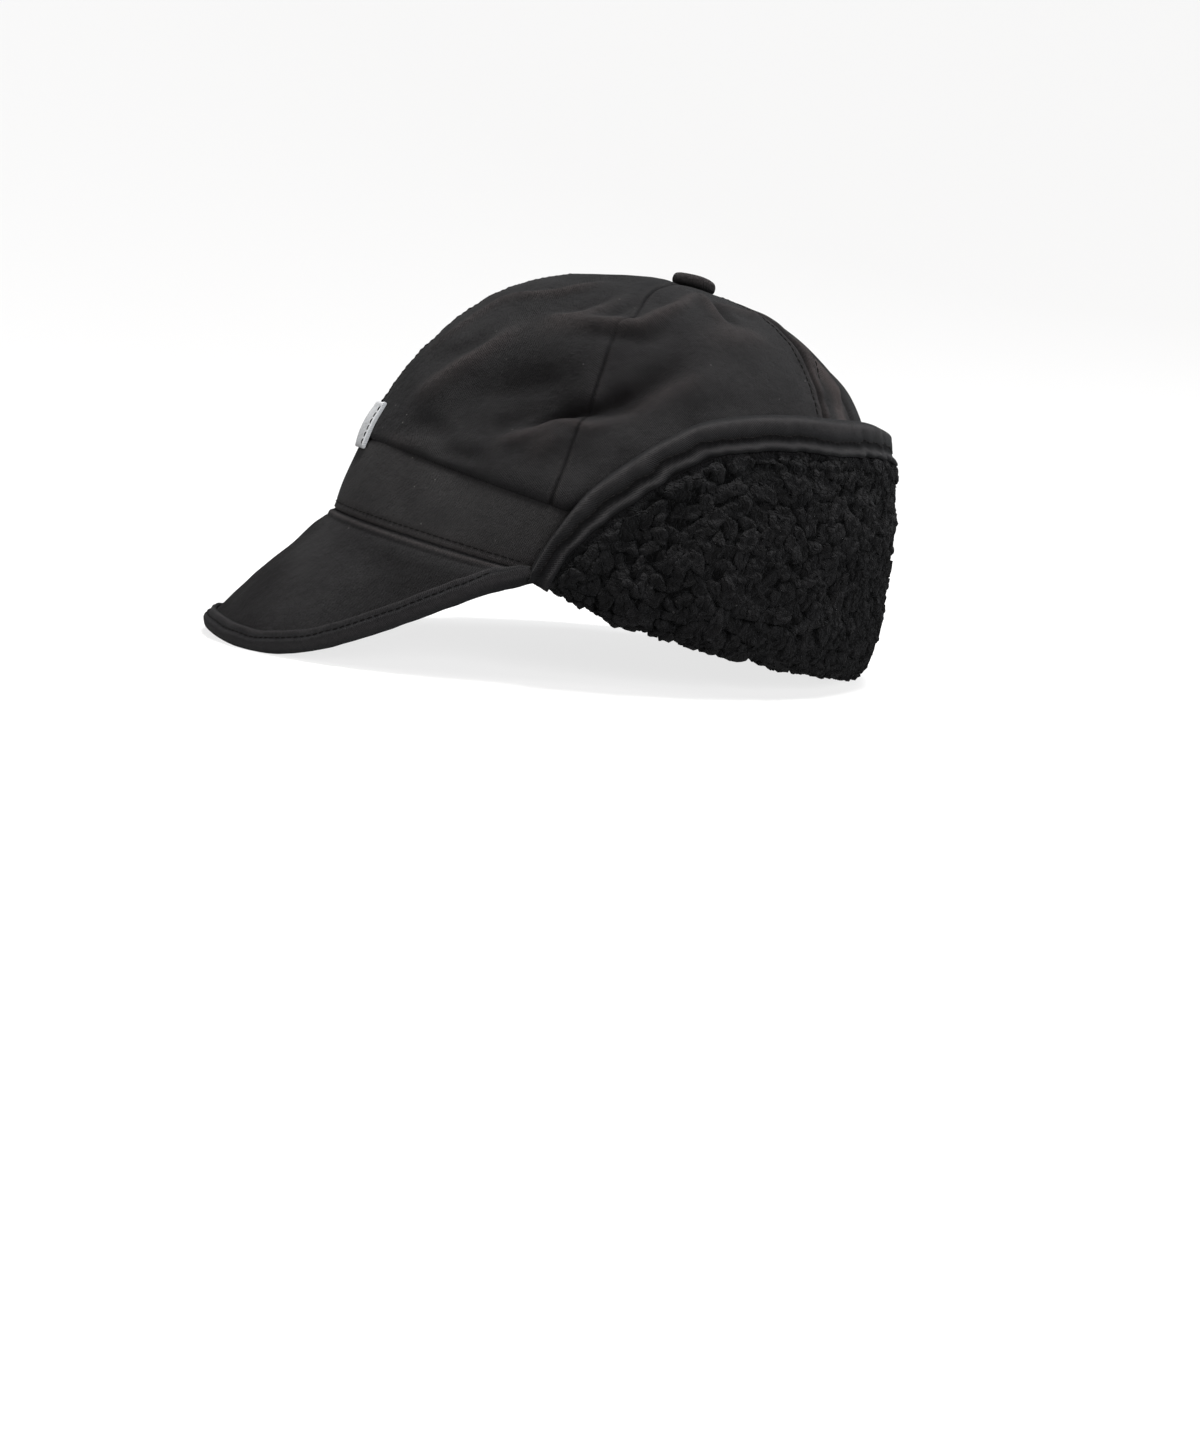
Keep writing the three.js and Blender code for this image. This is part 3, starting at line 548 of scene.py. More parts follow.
# Sections of a stitch: share of its length, share of its radius
stitchSections = [(0, 0.25), (0.12, 0.85), (0.5, 1), (0.88, 0.85), (1, 0.25)]


def stitchedLine(points, normals):
    length = runLength(points)
    shares, widths = np.array(stitchSections).T
    sides = thread["sides"]
    turn = np.arange(sides) * 2 * math.pi / sides
    verts = []
    faces = []
    for k in range(int(length[-1] / thread["stitch"])):
        at = k * thread["stitch"] + shares * (thread["stitch"] - thread["gap"])
        path = readLine(points, length, at)
        up = unit(readLine(normals, length, at))
        path = path + up * (thread["proud"] + thread["bow"] * np.sin(math.pi * shares))[:, None]
        side = unit(np.cross(up, unit(path[-1] - path[0])))
        base = len(verts) * sides
        for p, u, s, w in zip(path, up, side, widths):
            verts.append(p + thread["radius"] * w * (np.cos(turn)[:, None] * s + np.sin(turn)[:, None] * u))
        for a in range(base, base + (len(shares) - 1) * sides, sides):
            for j in range(sides):
                b = (j + 1) % sides
                faces.append((a + j, a + b, a + b + sides, a + j + sides))
        faces.append(tuple(range(base, base + sides))[::-1])
        faces.append(tuple(range(base + (len(shares) - 1) * sides, base + len(shares) * sides)))
    return np.concatenate(verts), faces


def threadMesh(name, lines):
    verts = []
    faces = []
    for points, normals in lines:
        lineVerts, lineFaces = stitchedLine(points, normals)
        base = sum(len(v) for v in verts)
        verts.append(lineVerts)
        faces += [tuple(base + k for k in face) for face in lineFaces]
    return newMesh(name, toWorld(np.concatenate(verts)).tolist(), faces)


# Materials

def feed(tree, socket, value):
    if isinstance(value, bpy.types.NodeSocket):
        tree.links.new(value, socket)
    else:
        socket.default_value = value


def addNode(tree, kind, inputs=None, **settings):
    node = tree.nodes.new(kind)
    for key, value in settings.items():
        setattr(node, key, value)
    for key, value in (inputs or {}).items():
        feed(tree, node.inputs[key], value)
    return node


def mathNode(tree, operation, *values):
    return addNode(tree, "ShaderNodeMath", dict(enumerate(values)), operation=operation).outputs[0]


def plus(tree, first, second):
    return mathNode(tree, "ADD", first, second)


def times(tree, first, second):
    return mathNode(tree, "MULTIPLY", first, second)


def noise(tree, place, scale, detail=2.0, roughness=0.5, distortion=0.0):
    return addNode(tree, "ShaderNodeTexNoise", {
        "Vector": place, "Scale": scale, "Detail": detail, "Roughness": roughness,
        "Distortion": distortion}).outputs


def mixColours(tree, share, first, second, blend="MIX"):
    inputs = {0: share, 6: first, 7: second}
    return addNode(tree, "ShaderNodeMix", inputs, data_type="RGBA", blend_type=blend).outputs[2]


def mapRange(tree, value, fromRange=(0, 1), toRange=(0, 1), kind="LINEAR"):
    return addNode(tree, "ShaderNodeMapRange", {
        "Value": value, "From Min": fromRange[0], "From Max": fromRange[1], "To Min": toRange[0],
        "To Max": toRange[1]}, interpolation_type=kind).outputs[0]


# A node group with its inputs' sockets, and the node that its outputs feed
def newGroup(name, inputs, outputs):
    tree = bpy.data.node_groups.new(name, "ShaderNodeTree")
    for socketName, kind, value in inputs:
        socket = tree.interface.new_socket(name=socketName, in_out="INPUT", socket_type="NodeSocket" + kind)
        if value is not None:
            socket.default_value = value
    for socketName, kind in outputs:
        tree.interface.new_socket(name=socketName, in_out="OUTPUT", socket_type="NodeSocket" + kind)
    return tree, addNode(tree, "NodeGroupInput").outputs, addNode(tree, "NodeGroupOutput").inputs


def useGroup(tree, group, inputs):
    return addNode(tree, "ShaderNodeGroup", inputs, node_tree=group).outputs


weave = {
    "ribs": 0.34,              # height of the slanting ribs, with the cross yarns as a share of 1
    "yarns": 0.16,
    "yarnsPerRib": 1.6,
    "wobble": 3.0,
    "wobbleScale": 0.6,
}


# Twill: slanting ribs crossed by finer yarns, as a height between 0 and 1
def buildWeaveGroup():
    tree, given, out = newGroup("twillWeave", [
        ("Cloth", "Vector", None), ("Pitch", "Float", 0.7), ("Slant", "Float", 1.0),
    ], [("Height", "Float")])
    split = addNode(tree, "ShaderNodeSeparateXYZ", {0: given["Cloth"]}).outputs
    turns = mathNode(tree, "DIVIDE", 2 * math.pi, given["Pitch"])
    wobble = times(tree, noise(tree, given["Cloth"], weave["wobbleScale"])["Fac"], weave["wobble"])
    across = plus(tree, split["X"], times(tree, split["Y"], given["Slant"]))
    ribs = mathNode(tree, "SINE", plus(tree, times(tree, across, turns), wobble))
    yarns = mathNode(tree, "SINE", times(tree, times(tree, split["Y"], turns), weave["yarnsPerRib"]))
    mixed = plus(tree, times(tree, ribs, weave["ribs"]), times(tree, yarns, weave["yarns"]))
    feed(tree, out["Height"], plus(tree, mixed, 0.5))
    return tree


wearAndPaintedLight = {
    "rougher": 0.1,            # how much rougher faded cloth is
    "patchEdge": (0.34, 0.68),  # values of the noise between which a patch fades in
    "patchShare": 0.7,
    "mottleShare": 0.3,
    "mottleScale": 420.0,
    "paleLeast": 0.25,
    # colour multiplied in as painted shade
    "paintedShadeColour": (0.30, 0.28, 0.28, 1),
    "lintScale": 260.0,
    "lintSize": 0.09,
    "lintPatches": 70.0,
    "lintFrom": 0.62,
    "lintColour": (0.16, 0.155, 0.15, 1),
}


# Colour of worn black cloth: patches of fading, paler rubbed edges and painted highlights, painted shade in
# creases, grooves and gaps, and a little lint
def buildWearAndPaintedLightGroup():
    tree, given, out = newGroup("wornClothWithPaintedLight", [
        ("Place", "Vector", None), ("Cloth Colour", "Color", (0.03, 0.03, 0.03, 1)),
        ("Faded Colour", "Color", (0.05, 0.05, 0.05, 1)), ("Wear And Highlight Colour", "Color", (0.07, 0.06, 0.06, 1)),
        ("Patch Size", "Float", 30.0), ("Fading", "Float", 0.5), ("Wear And Highlight", "Float", 0.0),
        ("Painted Shade", "Float", 0.0), ("Lint", "Float", 0.3),
    ], [("Colour", "Color"), ("Fading", "Float")])
    place = given["Place"]
    patches = mapRange(tree, noise(tree, place, given["Patch Size"], 5.0, 0.62)["Fac"], wearAndPaintedLight["patchEdge"])
    mottle = noise(tree, place, wearAndPaintedLight["mottleScale"], 3.0, 0.7)["Fac"]
    mixed = plus(tree, times(tree, patches, wearAndPaintedLight["patchShare"]), times(tree, mottle, wearAndPaintedLight["mottleShare"]))
    fading = times(tree, mixed, given["Fading"])
    # Paler colour where the cloth is rubbed and where highlights are painted
    paleShare = times(tree, given["Wear And Highlight"], plus(tree, mottle, wearAndPaintedLight["paleLeast"]))
    colour = mixColours(tree, fading, given["Cloth Colour"], given["Faded Colour"])
    colour = mixColours(tree, paleShare, colour, given["Wear And Highlight Colour"])
    # Painted shade, multiplied into the colour
    colour = mixColours(tree, given["Painted Shade"], colour, wearAndPaintedLight["paintedShadeColour"], "MULTIPLY")
    specks = addNode(tree, "ShaderNodeTexVoronoi", {"Vector": place, "Scale": wearAndPaintedLight["lintScale"]})
    near = mathNode(tree, "LESS_THAN", specks.outputs["Distance"], wearAndPaintedLight["lintSize"])
    some = mathNode(tree, "GREATER_THAN", noise(tree, place, wearAndPaintedLight["lintPatches"])["Fac"], wearAndPaintedLight["lintFrom"])
    lint = times(tree, times(tree, near, some), given["Lint"])
    feed(tree, out["Colour"], mixColours(tree, lint, colour, wearAndPaintedLight["lintColour"]))
    feed(tree, out["Fading"], fading)
    return tree


# Loose fibres standing on the cloth over a softer nap, as a height
def buildFuzzGroup():
    tree, given, out = newGroup("fibreFuzz", [
        ("Place", "Vector", None), ("Fibre Scale", "Float", 900.0),
    ], [("Height", "Float")])
    fibres = noise(tree, given["Place"], given["Fibre Scale"], 4.0, distortion=1.2)["Fac"]
    nap = noise(tree, given["Place"], times(tree, given["Fibre Scale"], 0.3), 2.0, 0.6)["Fac"]
    feed(tree, out["Height"], plus(tree, fibres, times(tree, nap, 1.6)))
    return tree


yarn = {
    "tangleScale": 480.0,
    "swirlScale": 640.0,
    "swirl": 9.0,
    "turnVaries": 6.0,         # how far the rings of two centres are out of step
    "ring": 0.16,              # height of a ring of yarn, with the curl's dome as 1
    "dome": 0.85,
    "gapEdge": (0.42, 0.78),   # distances from a curl's middle over which the gap beside it opens
    # share of painted shade between the rings of yarn
    "ringGap": 0.9,
}


# Curls of pile: rings of yarn round scattered centres, as a height, and the gaps between them as a mask for
# painted shade
def buildCurlGroup():
    tree, given, out = newGroup("pileCurls", [
        ("Place", "Vector", None), ("Curl Scale", "Float", 330.0), ("Ring Pitch", "Float", 0.3),
        ("Tangle", "Float", 0.0012),
    ], [("Height", "Float"), ("Gap", "Float")])
    tangle = noise(tree, given["Place"], yarn["tangleScale"])["Color"]
    centred = addNode(tree, "ShaderNodeVectorMath", {0: tangle, 1: (0.5, 0.5, 0.5)}, operation="SUBTRACT")
    pull = {0: centred.outputs[0], "Scale": given["Tangle"]}
    pulled = addNode(tree, "ShaderNodeVectorMath", pull, operation="SCALE").outputs[0]
    moved = addNode(tree, "ShaderNodeVectorMath", {0: given["Place"], 1: pulled}, operation="ADD").outputs[0]
    cells = addNode(tree, "ShaderNodeTexVoronoi", {
        "Vector": moved, "Scale": given["Curl Scale"], "Randomness": 0.95}).outputs
    turns = mathNode(tree, "DIVIDE", 2 * math.pi, given["Ring Pitch"])
    tint = addNode(tree, "ShaderNodeSeparateColor", {0: cells["Color"]}).outputs[0]
    angle = plus(tree, times(tree, cells["Distance"], turns), times(tree, tint, yarn["turnVaries"]))
    swirl = times(tree, noise(tree, moved, yarn["swirlScale"], 1.0)["Fac"], yarn["swirl"])
    rings = times(tree, mathNode(tree, "SINE", plus(tree, angle, swirl)), yarn["ring"])
    dome = mathNode(tree, "SUBTRACT", yarn["dome"], cells["Distance"])
    feed(tree, out["Height"], plus(tree, dome, rings))
    gap = mapRange(tree, cells["Distance"], yarn["gapEdge"], kind="SMOOTHSTEP")
    ringGap = times(tree, mathNode(tree, "SUBTRACT", yarn["ring"], rings), yarn["ringGap"])
    feed(tree, out["Gap"], plus(tree, gap, ringGap))
    return tree


weaveGroup = buildWeaveGroup()
wearAndPaintedLightGroup = buildWearAndPaintedLightGroup()
fuzzGroup = buildFuzzGroup()
curlGroup = buildCurlGroup()


def attribute(tree, name, output="Fac"):
    return addNode(tree, "ShaderNodeAttribute", attribute_name=name).outputs[output]


# Cloth of any kind: worn colour with painted shade and highlights, fibres, and a weave or a pile, with the
# values of its look
def clothMaterial(name, look):
    material = bpy.data.materials.new(name)
    material.use_nodes = True
    tree = material.node_tree
    shader = tree.nodes["Principled BSDF"]
    place = addNode(tree, "ShaderNodeTexCoord").outputs["Object"]
    paintedShade = attribute(tree, "paintedShade")
    fuzz = useGroup(tree, fuzzGroup, {"Place": place, "Fibre Scale": look["fibres"]})
    height = times(tree, fuzz["Height"], look["fuzz"])
    if "curls" in look:
        curls = useGroup(tree, curlGroup, {
            "Place": place, "Curl Scale": look["curls"], "Ring Pitch": look["ringPitch"],
            "Tangle": look["tangle"]})
        height = plus(tree, height, times(tree, curls["Height"], look["yarn"]))
        # Painted shade in the gaps between the curls, added to the painted shade of the mark
        gaps = times(tree, curls["Gap"], look["gapDark"])
        deep = addNode(tree, "ShaderNodeMath", {0: gaps, 1: paintedShade}, operation="ADD", use_clamp=True)
        paintedShade = deep.outputs[0]
    else:
        woven = useGroup(tree, weaveGroup, {
            "Cloth": attribute(tree, "cloth", "Vector"), "Pitch": look["pitch"], "Slant": look["slant"]})
        height = plus(tree, height, times(tree, woven["Height"], look["weave"]))
    wornAndShaded = useGroup(tree, wearAndPaintedLightGroup, {
        "Place": place, "Cloth Colour": (*look["colour"], 1), "Faded Colour": (*look["faded"], 1),
        "Wear And Highlight Colour": (*look["edge"], 1), "Patch Size": look["patches"], "Fading": look["fading"],
        "Wear And Highlight": attribute(tree, "wearAndHighlight"), "Painted Shade": paintedShade, "Lint": look["lint"]})
    bump = addNode(tree, "ShaderNodeBump", {
        "Height": height, "Strength": look["bump"], "Distance": look["bumpDepth"]})
    roughness = (look["roughness"], look["roughness"] + wearAndPaintedLight["rougher"])
    feed(tree, shader.inputs["Base Color"], wornAndShaded["Colour"])
    feed(tree, shader.inputs["Normal"], bump.outputs["Normal"])
    feed(tree, shader.inputs["Roughness"], mapRange(tree, wornAndShaded["Fading"], toRange=roughness))
    shader.inputs["Specular IOR Level"].default_value = look["specular"]
    shader.inputs["Sheen Weight"].default_value = look["sheen"]
    shader.inputs["Sheen Roughness"].default_value = look["sheenRoughness"]
    shader.inputs["Sheen Tint"].default_value = (*look["sheenTint"], 1)
    return material


# Each look's edge colour goes where the cloth is rubbed and where highlights are painted
twillLook = {
    "colour": (0.0060, 0.0058, 0.0060), "faded": (0.0156, 0.0152, 0.0156), "edge": (0.036, 0.0305, 0.030),
    "patches": 30.0, "fading": 0.95, "lint": 0.2, "pitch": 0.72, "slant": 1.0, "weave": 0.6, "fuzz": 1.3,
    "fibres": 1000.0, "bump": 1.0, "bumpDepth": 0.0006, "roughness": 0.95, "specular": 0.035, "sheen": 0.012,
    "sheenRoughness": 0.5, "sheenTint": (0.88, 0.94, 1.0)}
twill = clothMaterial("twill", twillLook)
bandTwill = clothMaterial("bandTwill", twillLook | {
    "colour": (0.0100, 0.0096, 0.0097), "faded": (0.0200, 0.0193, 0.0195)})
tape = clothMaterial("tape", {
    "colour": (0.0040, 0.0040, 0.0042), "faded": (0.0082, 0.0081, 0.0086), "edge": (0.0260, 0.0245, 0.0250),
    "patches": 34.0, "fading": 0.9, "lint": 0.15, "pitch": 0.6, "slant": 0.45, "weave": 0.7, "fuzz": 0.8,
    "fibres": 1100.0, "bump": 0.9, "bumpDepth": 0.0005, "roughness": 0.92, "specular": 0.04, "sheen": 0.014,
    "sheenRoughness": 0.5, "sheenTint": (0.88, 0.94, 1.0)})
pile = clothMaterial("fleece", {
    "colour": (0.0021, 0.0021, 0.0022), "faded": (0.0044, 0.0043, 0.0045), "edge": (0.0150, 0.0146, 0.0152),
    "patches": 60.0, "fading": 0.9, "lint": 0.1, "fuzz": 0.8, "curls": 330.0, "ringPitch": 0.36,
    "tangle": 0.0016, "yarn": 4.0, "gapDark": 0.55,
    "fibres": 1000.0, "bump": 1.0, "bumpDepth": 0.0005, "roughness": 0.95, "specular": 0.03, "sheen": 0.012,
    "sheenRoughness": 0.6, "sheenTint": (0.92, 0.95, 1.0)})
labelCloth = clothMaterial("labelCloth", {
    "colour": (0.205, 0.213, 0.222), "faded": (0.29, 0.298, 0.307), "edge": (0.37, 0.378, 0.387),
    "patches": 90.0, "fading": 0.7, "lint": 0.0, "pitch": 0.8, "slant": 1.0, "weave": 1.0, "fuzz": 0.4,
    "fibres": 1400.0, "bump": 0.7, "bumpDepth": 0.0003, "roughness": 0.8, "specular": 0.2, "sheen": 0.1,
    "sheenRoughness": 0.4, "sheenTint": (1.0, 1.0, 1.0)})
sewing = clothMaterial("sewingThread", {
    "colour": (0.002, 0.0018, 0.0018), "faded": (0.004, 0.0036, 0.0036), "edge": (0.014, 0.012, 0.012),
    "patches": 90.0, "fading": 0.6, "lint": 0.0, "pitch": 0.5, "slant": 1.0, "weave": 0.0, "fuzz": 0.8,
    "fibres": 1800.0, "bump": 0.4, "bumpDepth": 0.0002, "roughness": 0.8, "specular": 0.05, "sheen": 0.005,
    "sheenRoughness": 0.4, "sheenTint": (1.0, 0.96, 0.95)})
print("cap: materials made")

# Crown gores

gore = {
    "edgeColumns": [0, 0.3, 0.6, 0.95, 1.35, 1.8, 2.3, 2.75, 3.1, 3.45, 3.9, 4.6, 5.5],
    "wanderReach": 14,         # degrees beside the left front seam that shift with it
    "valley": (-0.42, 2.6),    # lines along a seam, as strength, width and place
    "cut": (-0.6, 0.5),
    "rubbedLine": (0.10, 0.5, 0.9),
    "rubbedSize": 12,
    "stitchFromSeam": 3.1,
    "stitchDent": (-0.7, 0.5),  # this and the next as shares of how high the seam allowance stands
    "allowanceLine": (1, 0.9, 1.2),
    "allowanceRise": (0.4, 1.1),
    "allowanceFall": (2.4, 3.3),
    # Painted shade along the seam groove: its width, how much wider it is by the back seam, and how uneven
    "grooveWidth": 0.6,
    "backGrooveWider": (0.6, 12),
    "grooveUneven": 0.35,
    "grooveUnevenSize": 26,
    "grooveLeast": 0.15,
    "pucker": 0.2,
    "puckerLength": 8.0,
    "puckerReach": 7.0,
    "puckerBend": 2.2,
    "puckerBendSize": 21,
    "fadeRadius": 25,          # millimetres round the button within which the seams fade
    "footDent": (-0.7, 0.8),   # lines along the band, as strength and width: a dent, and painted shade along it
    "footDark": (0.7, 1.2),
    "lineShade": 0.45,         # how strongly painted highlight shows on the finer folds and painted shade in their creases, and the most of each
    "foldMost": 0.95,
    "creaseMost": 0.9,
    "bigShade": 0.18,          # and the same of the painted shade in the big creases and hollower parts
    "bigMost": 0.5,
    "backFolds": (1.6, 7, 130),  # stronger painted highlight on the folds behind the left back seam, as strength, width and angle
    "stitchRows": (3, -6),
}
seamLines = []                 # stitched lines, gathered from the pieces as they are made
goreTable = [                  # name, from angle, to angle, how high the seam allowance stands at each edge
    ("crown_panel_front_left", 0, crown["frontSeam"], 0.28, 0.0),
    ("crown_panel_side_left", crown["frontSeam"], crown["backSeam"], 0.0, 0.34),
    ("crown_panel_back_left", crown["backSeam"], 180, 0.7, 0.12),
    ("crown_panel_back_right", 180, 360 - crown["backSeam"], 0.12, 0.7),
    ("crown_panel_side_right", 360 - crown["backSeam"], 360 - crown["frontSeam"], 0.34, 0.0),
    ("crown_panel_front_right", 360 - crown["frontSeam"], 360, 0.0, 0.2),
]
# How far the left front seam wanders from its straight run: height, degrees
seamWander = [
    (18, 0.9), (55, 1.0), (63.5, 0.5), (70, 0.0), (77.5, -1.0), (83, -1.9), (86, -0.4), (88.5, 1.0),
    (93, 0.0), (97, -1.2), (102, -1.8), (107, 0),
]


# Columns close together by the seams, where the groove and the stitches are
def goreShares(width):
    edge = np.array(gore["edgeColumns"])
    middle = np.linspace(edge[-1], width - edge[-1], int(width / crown["columnSpacing"]))[1:-1]
    return np.concatenate([edge, middle, (width - edge)[::-1]]) / width


# Angles and heights of a gore's grid, and its distances from the first and the last seam
def goreSurface(fromAngle, toAngle):
    shares = goreShares((toAngle - fromAngle) * degree * crown["halfWidth"])
    share = shares[:, None]
    foot = bandTop(fromAngle + (toAngle - fromAngle) * shares) + crown["seamGap"]
    firstTurn = np.arcsin((foot / crown["height"]) ** (crown["squareness"] / 2))[:, None]
    holeShare = crown["apexRadius"] / (crown["halfWidth"] * (1 - crown["lean"]))
    lastTurn = math.acos(holeShare ** (crown["squareness"] / 2))
    turn = firstTurn + (lastTurn - firstTurn) * np.linspace(0, 1, crown["rows"])[None, :]
    height = crown["height"] * np.sin(turn) ** (2 / crown["squareness"])
    height[:, 0] = foot
    radius = crown["halfWidth"] * crownScale(height)
    lap = crown["seamLap"] / 2 / radius / degree
    angle = fromAngle - lap + (toAngle - fromAngle + 2 * lap) * share
    shift = np.interp(height, *np.array(seamWander).T)
    angle = angle + shift * hump(angle - crown["frontSeam"], gore["wanderReach"])
    span = (toAngle - fromAngle) * degree * radius
    return angle, height, share * span, (1 - share) * span


# Relief beside a seam: its valley, puckers, the allowance under the cloth and the dent along the stitches
def seamShape(distance, points, allowance):
    run = points[..., 2] * 0.9 + points[..., 1] * 0.5
    bend = gore["puckerBend"] * unevenness(points, gore["puckerBendSize"], 6)
    waves = np.sin(run * 2 * math.pi / gore["puckerLength"] + bend)
    strength = gore["pucker"] * (0.4 + 0.8 * allowance)
    stands = smoothStep(*gore["allowanceRise"], distance)
    stands = stands * (1 - smoothStep(*gore["allowanceFall"], distance))
    shape = stripe(distance, *gore["valley"]) + stripe(distance, *gore["cut"])
    shape += strength * waves * hump(distance - 1.0, gore["puckerReach"]) * smoothStep(0, 1.2, distance)
    shape += allowance * stands
    shape += allowance * stripe(distance - gore["stitchFromSeam"], *gore["stitchDent"])
    return shape


# How pale and how dark the cloth is: rubbed wear along its seams, painted highlight on its folds, and
# painted shade in its seam grooves, creases, hollows and along the band
def goreMarks(angle, place, normal, seams, fade, atBand, fromBand):
    nearest = np.minimum(seams[0][1], seams[1][1])
    ridge = stripe(nearest, *gore["rubbedLine"])
    ridge += sum(allowance * stripe(distance, *gore["allowanceLine"]) for allowance, distance in seams)
    paleShare = np.clip(0.5 + 0.5 * unevenness(place, gore["rubbedSize"], 7), 0.1, 1)
    # Painted highlight on the ridges of the finer folds, painted shade in their creases and in the big
    # hollows
    folds = fineRelief(place, normal, (1,)) * gore["lineShade"] * (1 + stripe(angle, *gore["backFolds"]))
    creases = -fineRelief(place, normal, (-1,)) * gore["lineShade"]
    hollows = [row for row in bigCreases + fullness if row[5] < 0]
    shade = -foldRelief(place, normal, hollows) * gore["bigShade"]
    width = gore["grooveWidth"] + stripe(foldedAngle(angle) - crown["backSeam"], *gore["backGrooveWider"])
    uneven = 1 - gore["grooveUneven"] * (1 - unevenness(place, gore["grooveUnevenSize"], 71))
    # Painted shade in the seam groove, the creases, the hollows and along the band
    paintedShade = hump(nearest, width) * np.clip(uneven, gore["grooveLeast"], 1)
    paintedShade += np.clip(creases, 0, gore["creaseMost"]) + np.clip(shade, 0, gore["bigMost"])
    paintedShade += atBand * stripe(fromBand, *gore["footDark"])
    # Rubbed wear on the seam ridges, and painted highlight on the folds
    wearAndHighlight = ridge * paleShare * fade + np.clip(folds, 0, gore["foldMost"])
    return {"wearAndHighlight": np.clip(wearAndHighlight, 0, 1), "paintedShade": np.clip(paintedShade, 0, 1)}


# The line of stitches beside a seam, up to where the gore is too narrow for it
def seamStitches(outer, normal, distance):
    line = []
    lineNormal = []
    for row in range(outer.shape[1])[slice(*gore["stitchRows"])]:
        order = np.argsort(distance[:, row])
        if distance[order[-1], row] < gore["stitchFromSeam"] * 2:
            break
        at = np.interp(gore["stitchFromSeam"], distance[order, row], np.arange(len(order), dtype=float))
        low = int(at)
        first, second = order[low], order[min(low + 1, len(order) - 1)]
        line.append(outer[first, row] * (low + 1 - at) + outer[second, row] * (at - low))
        lineNormal.append(normal[first, row])
    return np.array(line), np.array(lineNormal)


def makeGore(name, fromAngle, toAngle, *allowances):
    angle, height, *distances = goreSurface(fromAngle, toAngle)
    seams = list(zip(allowances, distances))
    place = crownPoint(angle, height)
    normal = crownNormal(angle, height)
    fade = np.clip(crown["halfWidth"] * crownScale(height) / gore["fadeRadius"], 0, 1)
    fromBand = height - bandTop(angle)
    atBand = rampUp(crown["seamAtFront"], *crown["frontEase"], foldedAngle(angle))
    relief = clothRelief(angle, height)
    relief += sum(seamShape(distance, place, allowance) * fade for allowance, distance in seams)
    relief += atBand * stripe(fromBand, *gore["footDent"])
    outer = place + normal * relief[..., None]
    inner = place + normal * (relief - crown["wall"])[..., None]
    inner[:, 0, 2] = outer[:, 0, 2]
    marks = goreMarks(angle, place, normal, seams, fade, atBand, fromBand)
    makePiece("sewn_" + name, clothBody(name, outer, inner, False, marks), twill, [name])
    for allowance, distance in seams:
        if allowance > 0:
            seamLines.append(seamStitches(outer, normal, distance))


for row in goreTable:
    makeGore(*row)
print("cap: crown made")

# Headband

def makeBand():
    angle = (np.arange(band["columns"]) / band["columns"] * 360)[:, None]
    share = np.linspace(0, 1, band["rows"])[None, :]
    height = bandTop(angle) * share
    place = crownPoint(angle, height)
    across = crownPoint(angle, height, 1.0) - place
    free = 1 - flapCover(angle, height)
    bow = np.sin(math.pi * share)
    swell = band["swell"] * unevenness(place, band["swellSize"], 8) + band["bow"]
    swell += band["fineSwell"] * unevenness(place * np.array([1, 1, 0.5]), band["fineSwellSize"], 9)
    relief = swell * bow + stripe(1 - share, *band["topLine"])
    relief += stripe(height - band["stitchFromEdge"], *band["stitchDent"])
    relief = relief * free + band["pressed"] * (1 - free)
    outer = place + across * relief[..., None]
    inner = crownPoint(angle, height, -band["wall"])
    # Painted shade under the gores' overhang at its top and along its stitch line; paler along its foot and
    # a line above it
    darkTop = stripe(bandTop(angle) - height, *band["darkTop"])
    marks = {
        "wearAndHighlight": stripe(height, *band["paleFoot"]) * free + stripe(height, *band["paleLine"]),
        "paintedShade": darkTop + stripe(height - band["stitchFromEdge"], *band["darkStitch"]),
    }
    makePiece("sewn_band", clothBody("band", outer, inner, True, marks), bandTwill, ["band"])
    lineAngle = np.linspace(-band["stitchTo"], band["stitchTo"], 160)
    lineHeight = np.full_like(lineAngle, band["stitchFromEdge"])
    seamLines.append((crownPoint(lineAngle, lineHeight, -0.2), crownNormal(lineAngle, lineHeight)))


makeBand()
print("cap: band made")

# Peak, and the tape folded over its edge

peak = {
    "halfAngle": 64.0,
    "wall": 2.8,
    "rootDrop": 1.35,
    "rootInset": 1.3,
    "swell": 1.2,
    "fullLength": 20.0,
    "rootRoll": (0.5, 0.95, 1.7),  # the rolled seam and other lines by it, as strength, width and place
    "rollWidens": 1.4,
    "rootGroove": (-0.22, 0.6, 3.4),
    "paleRoll": (0.4, 0.7, 1.7),
    # painted shade in the groove and at the root
    "darkGroove": (0.6, 0.6, 3.4),
    "darkRoot": (0.8, 0.6, 0.3),
    "rootShare": 0.75,         # of the thickness at the root, and the millimetres over which it gets full
    "rootTaper": 3,
    "endTaper": 9.0,           # millimetres over which the ends thin out
    "endShare": 0.55,          # to this share of the thickness
    "edgeInset": 1.7,
    "columns": 220,
    "rows": 52,
    "rootRows": 16,            # rows that lie closer, over the rolled seam
    "rootReach": 6.5,
    "rootReachShare": 0.3,
    "quietRoot": (3, 10),      # ripples and patches start this far from the root
    "quietEdge": 6,            # and from the edge
    "ripple": 0.34,
    "rippleSize": 30,
    "fineRipple": 0.10,
    "fineRippleSize": 11,
    # painted shade in soft patches
    "darkPatch": 0.75,
    "darkPatchEdge": (-1.2, 1.0),
    "darkPatchSize": 42,
    "rollBelow": 0.35,         # shares of the roll and the ripples that the lower side has
    "rippleBelow": 0.6,
}
# Swell of the peak: share of the way from root to edge, share of the swell
peakSection = [(0, 0), (0.22, 0), (0.5, 1), (0.8, 0.6), (1, 0)]
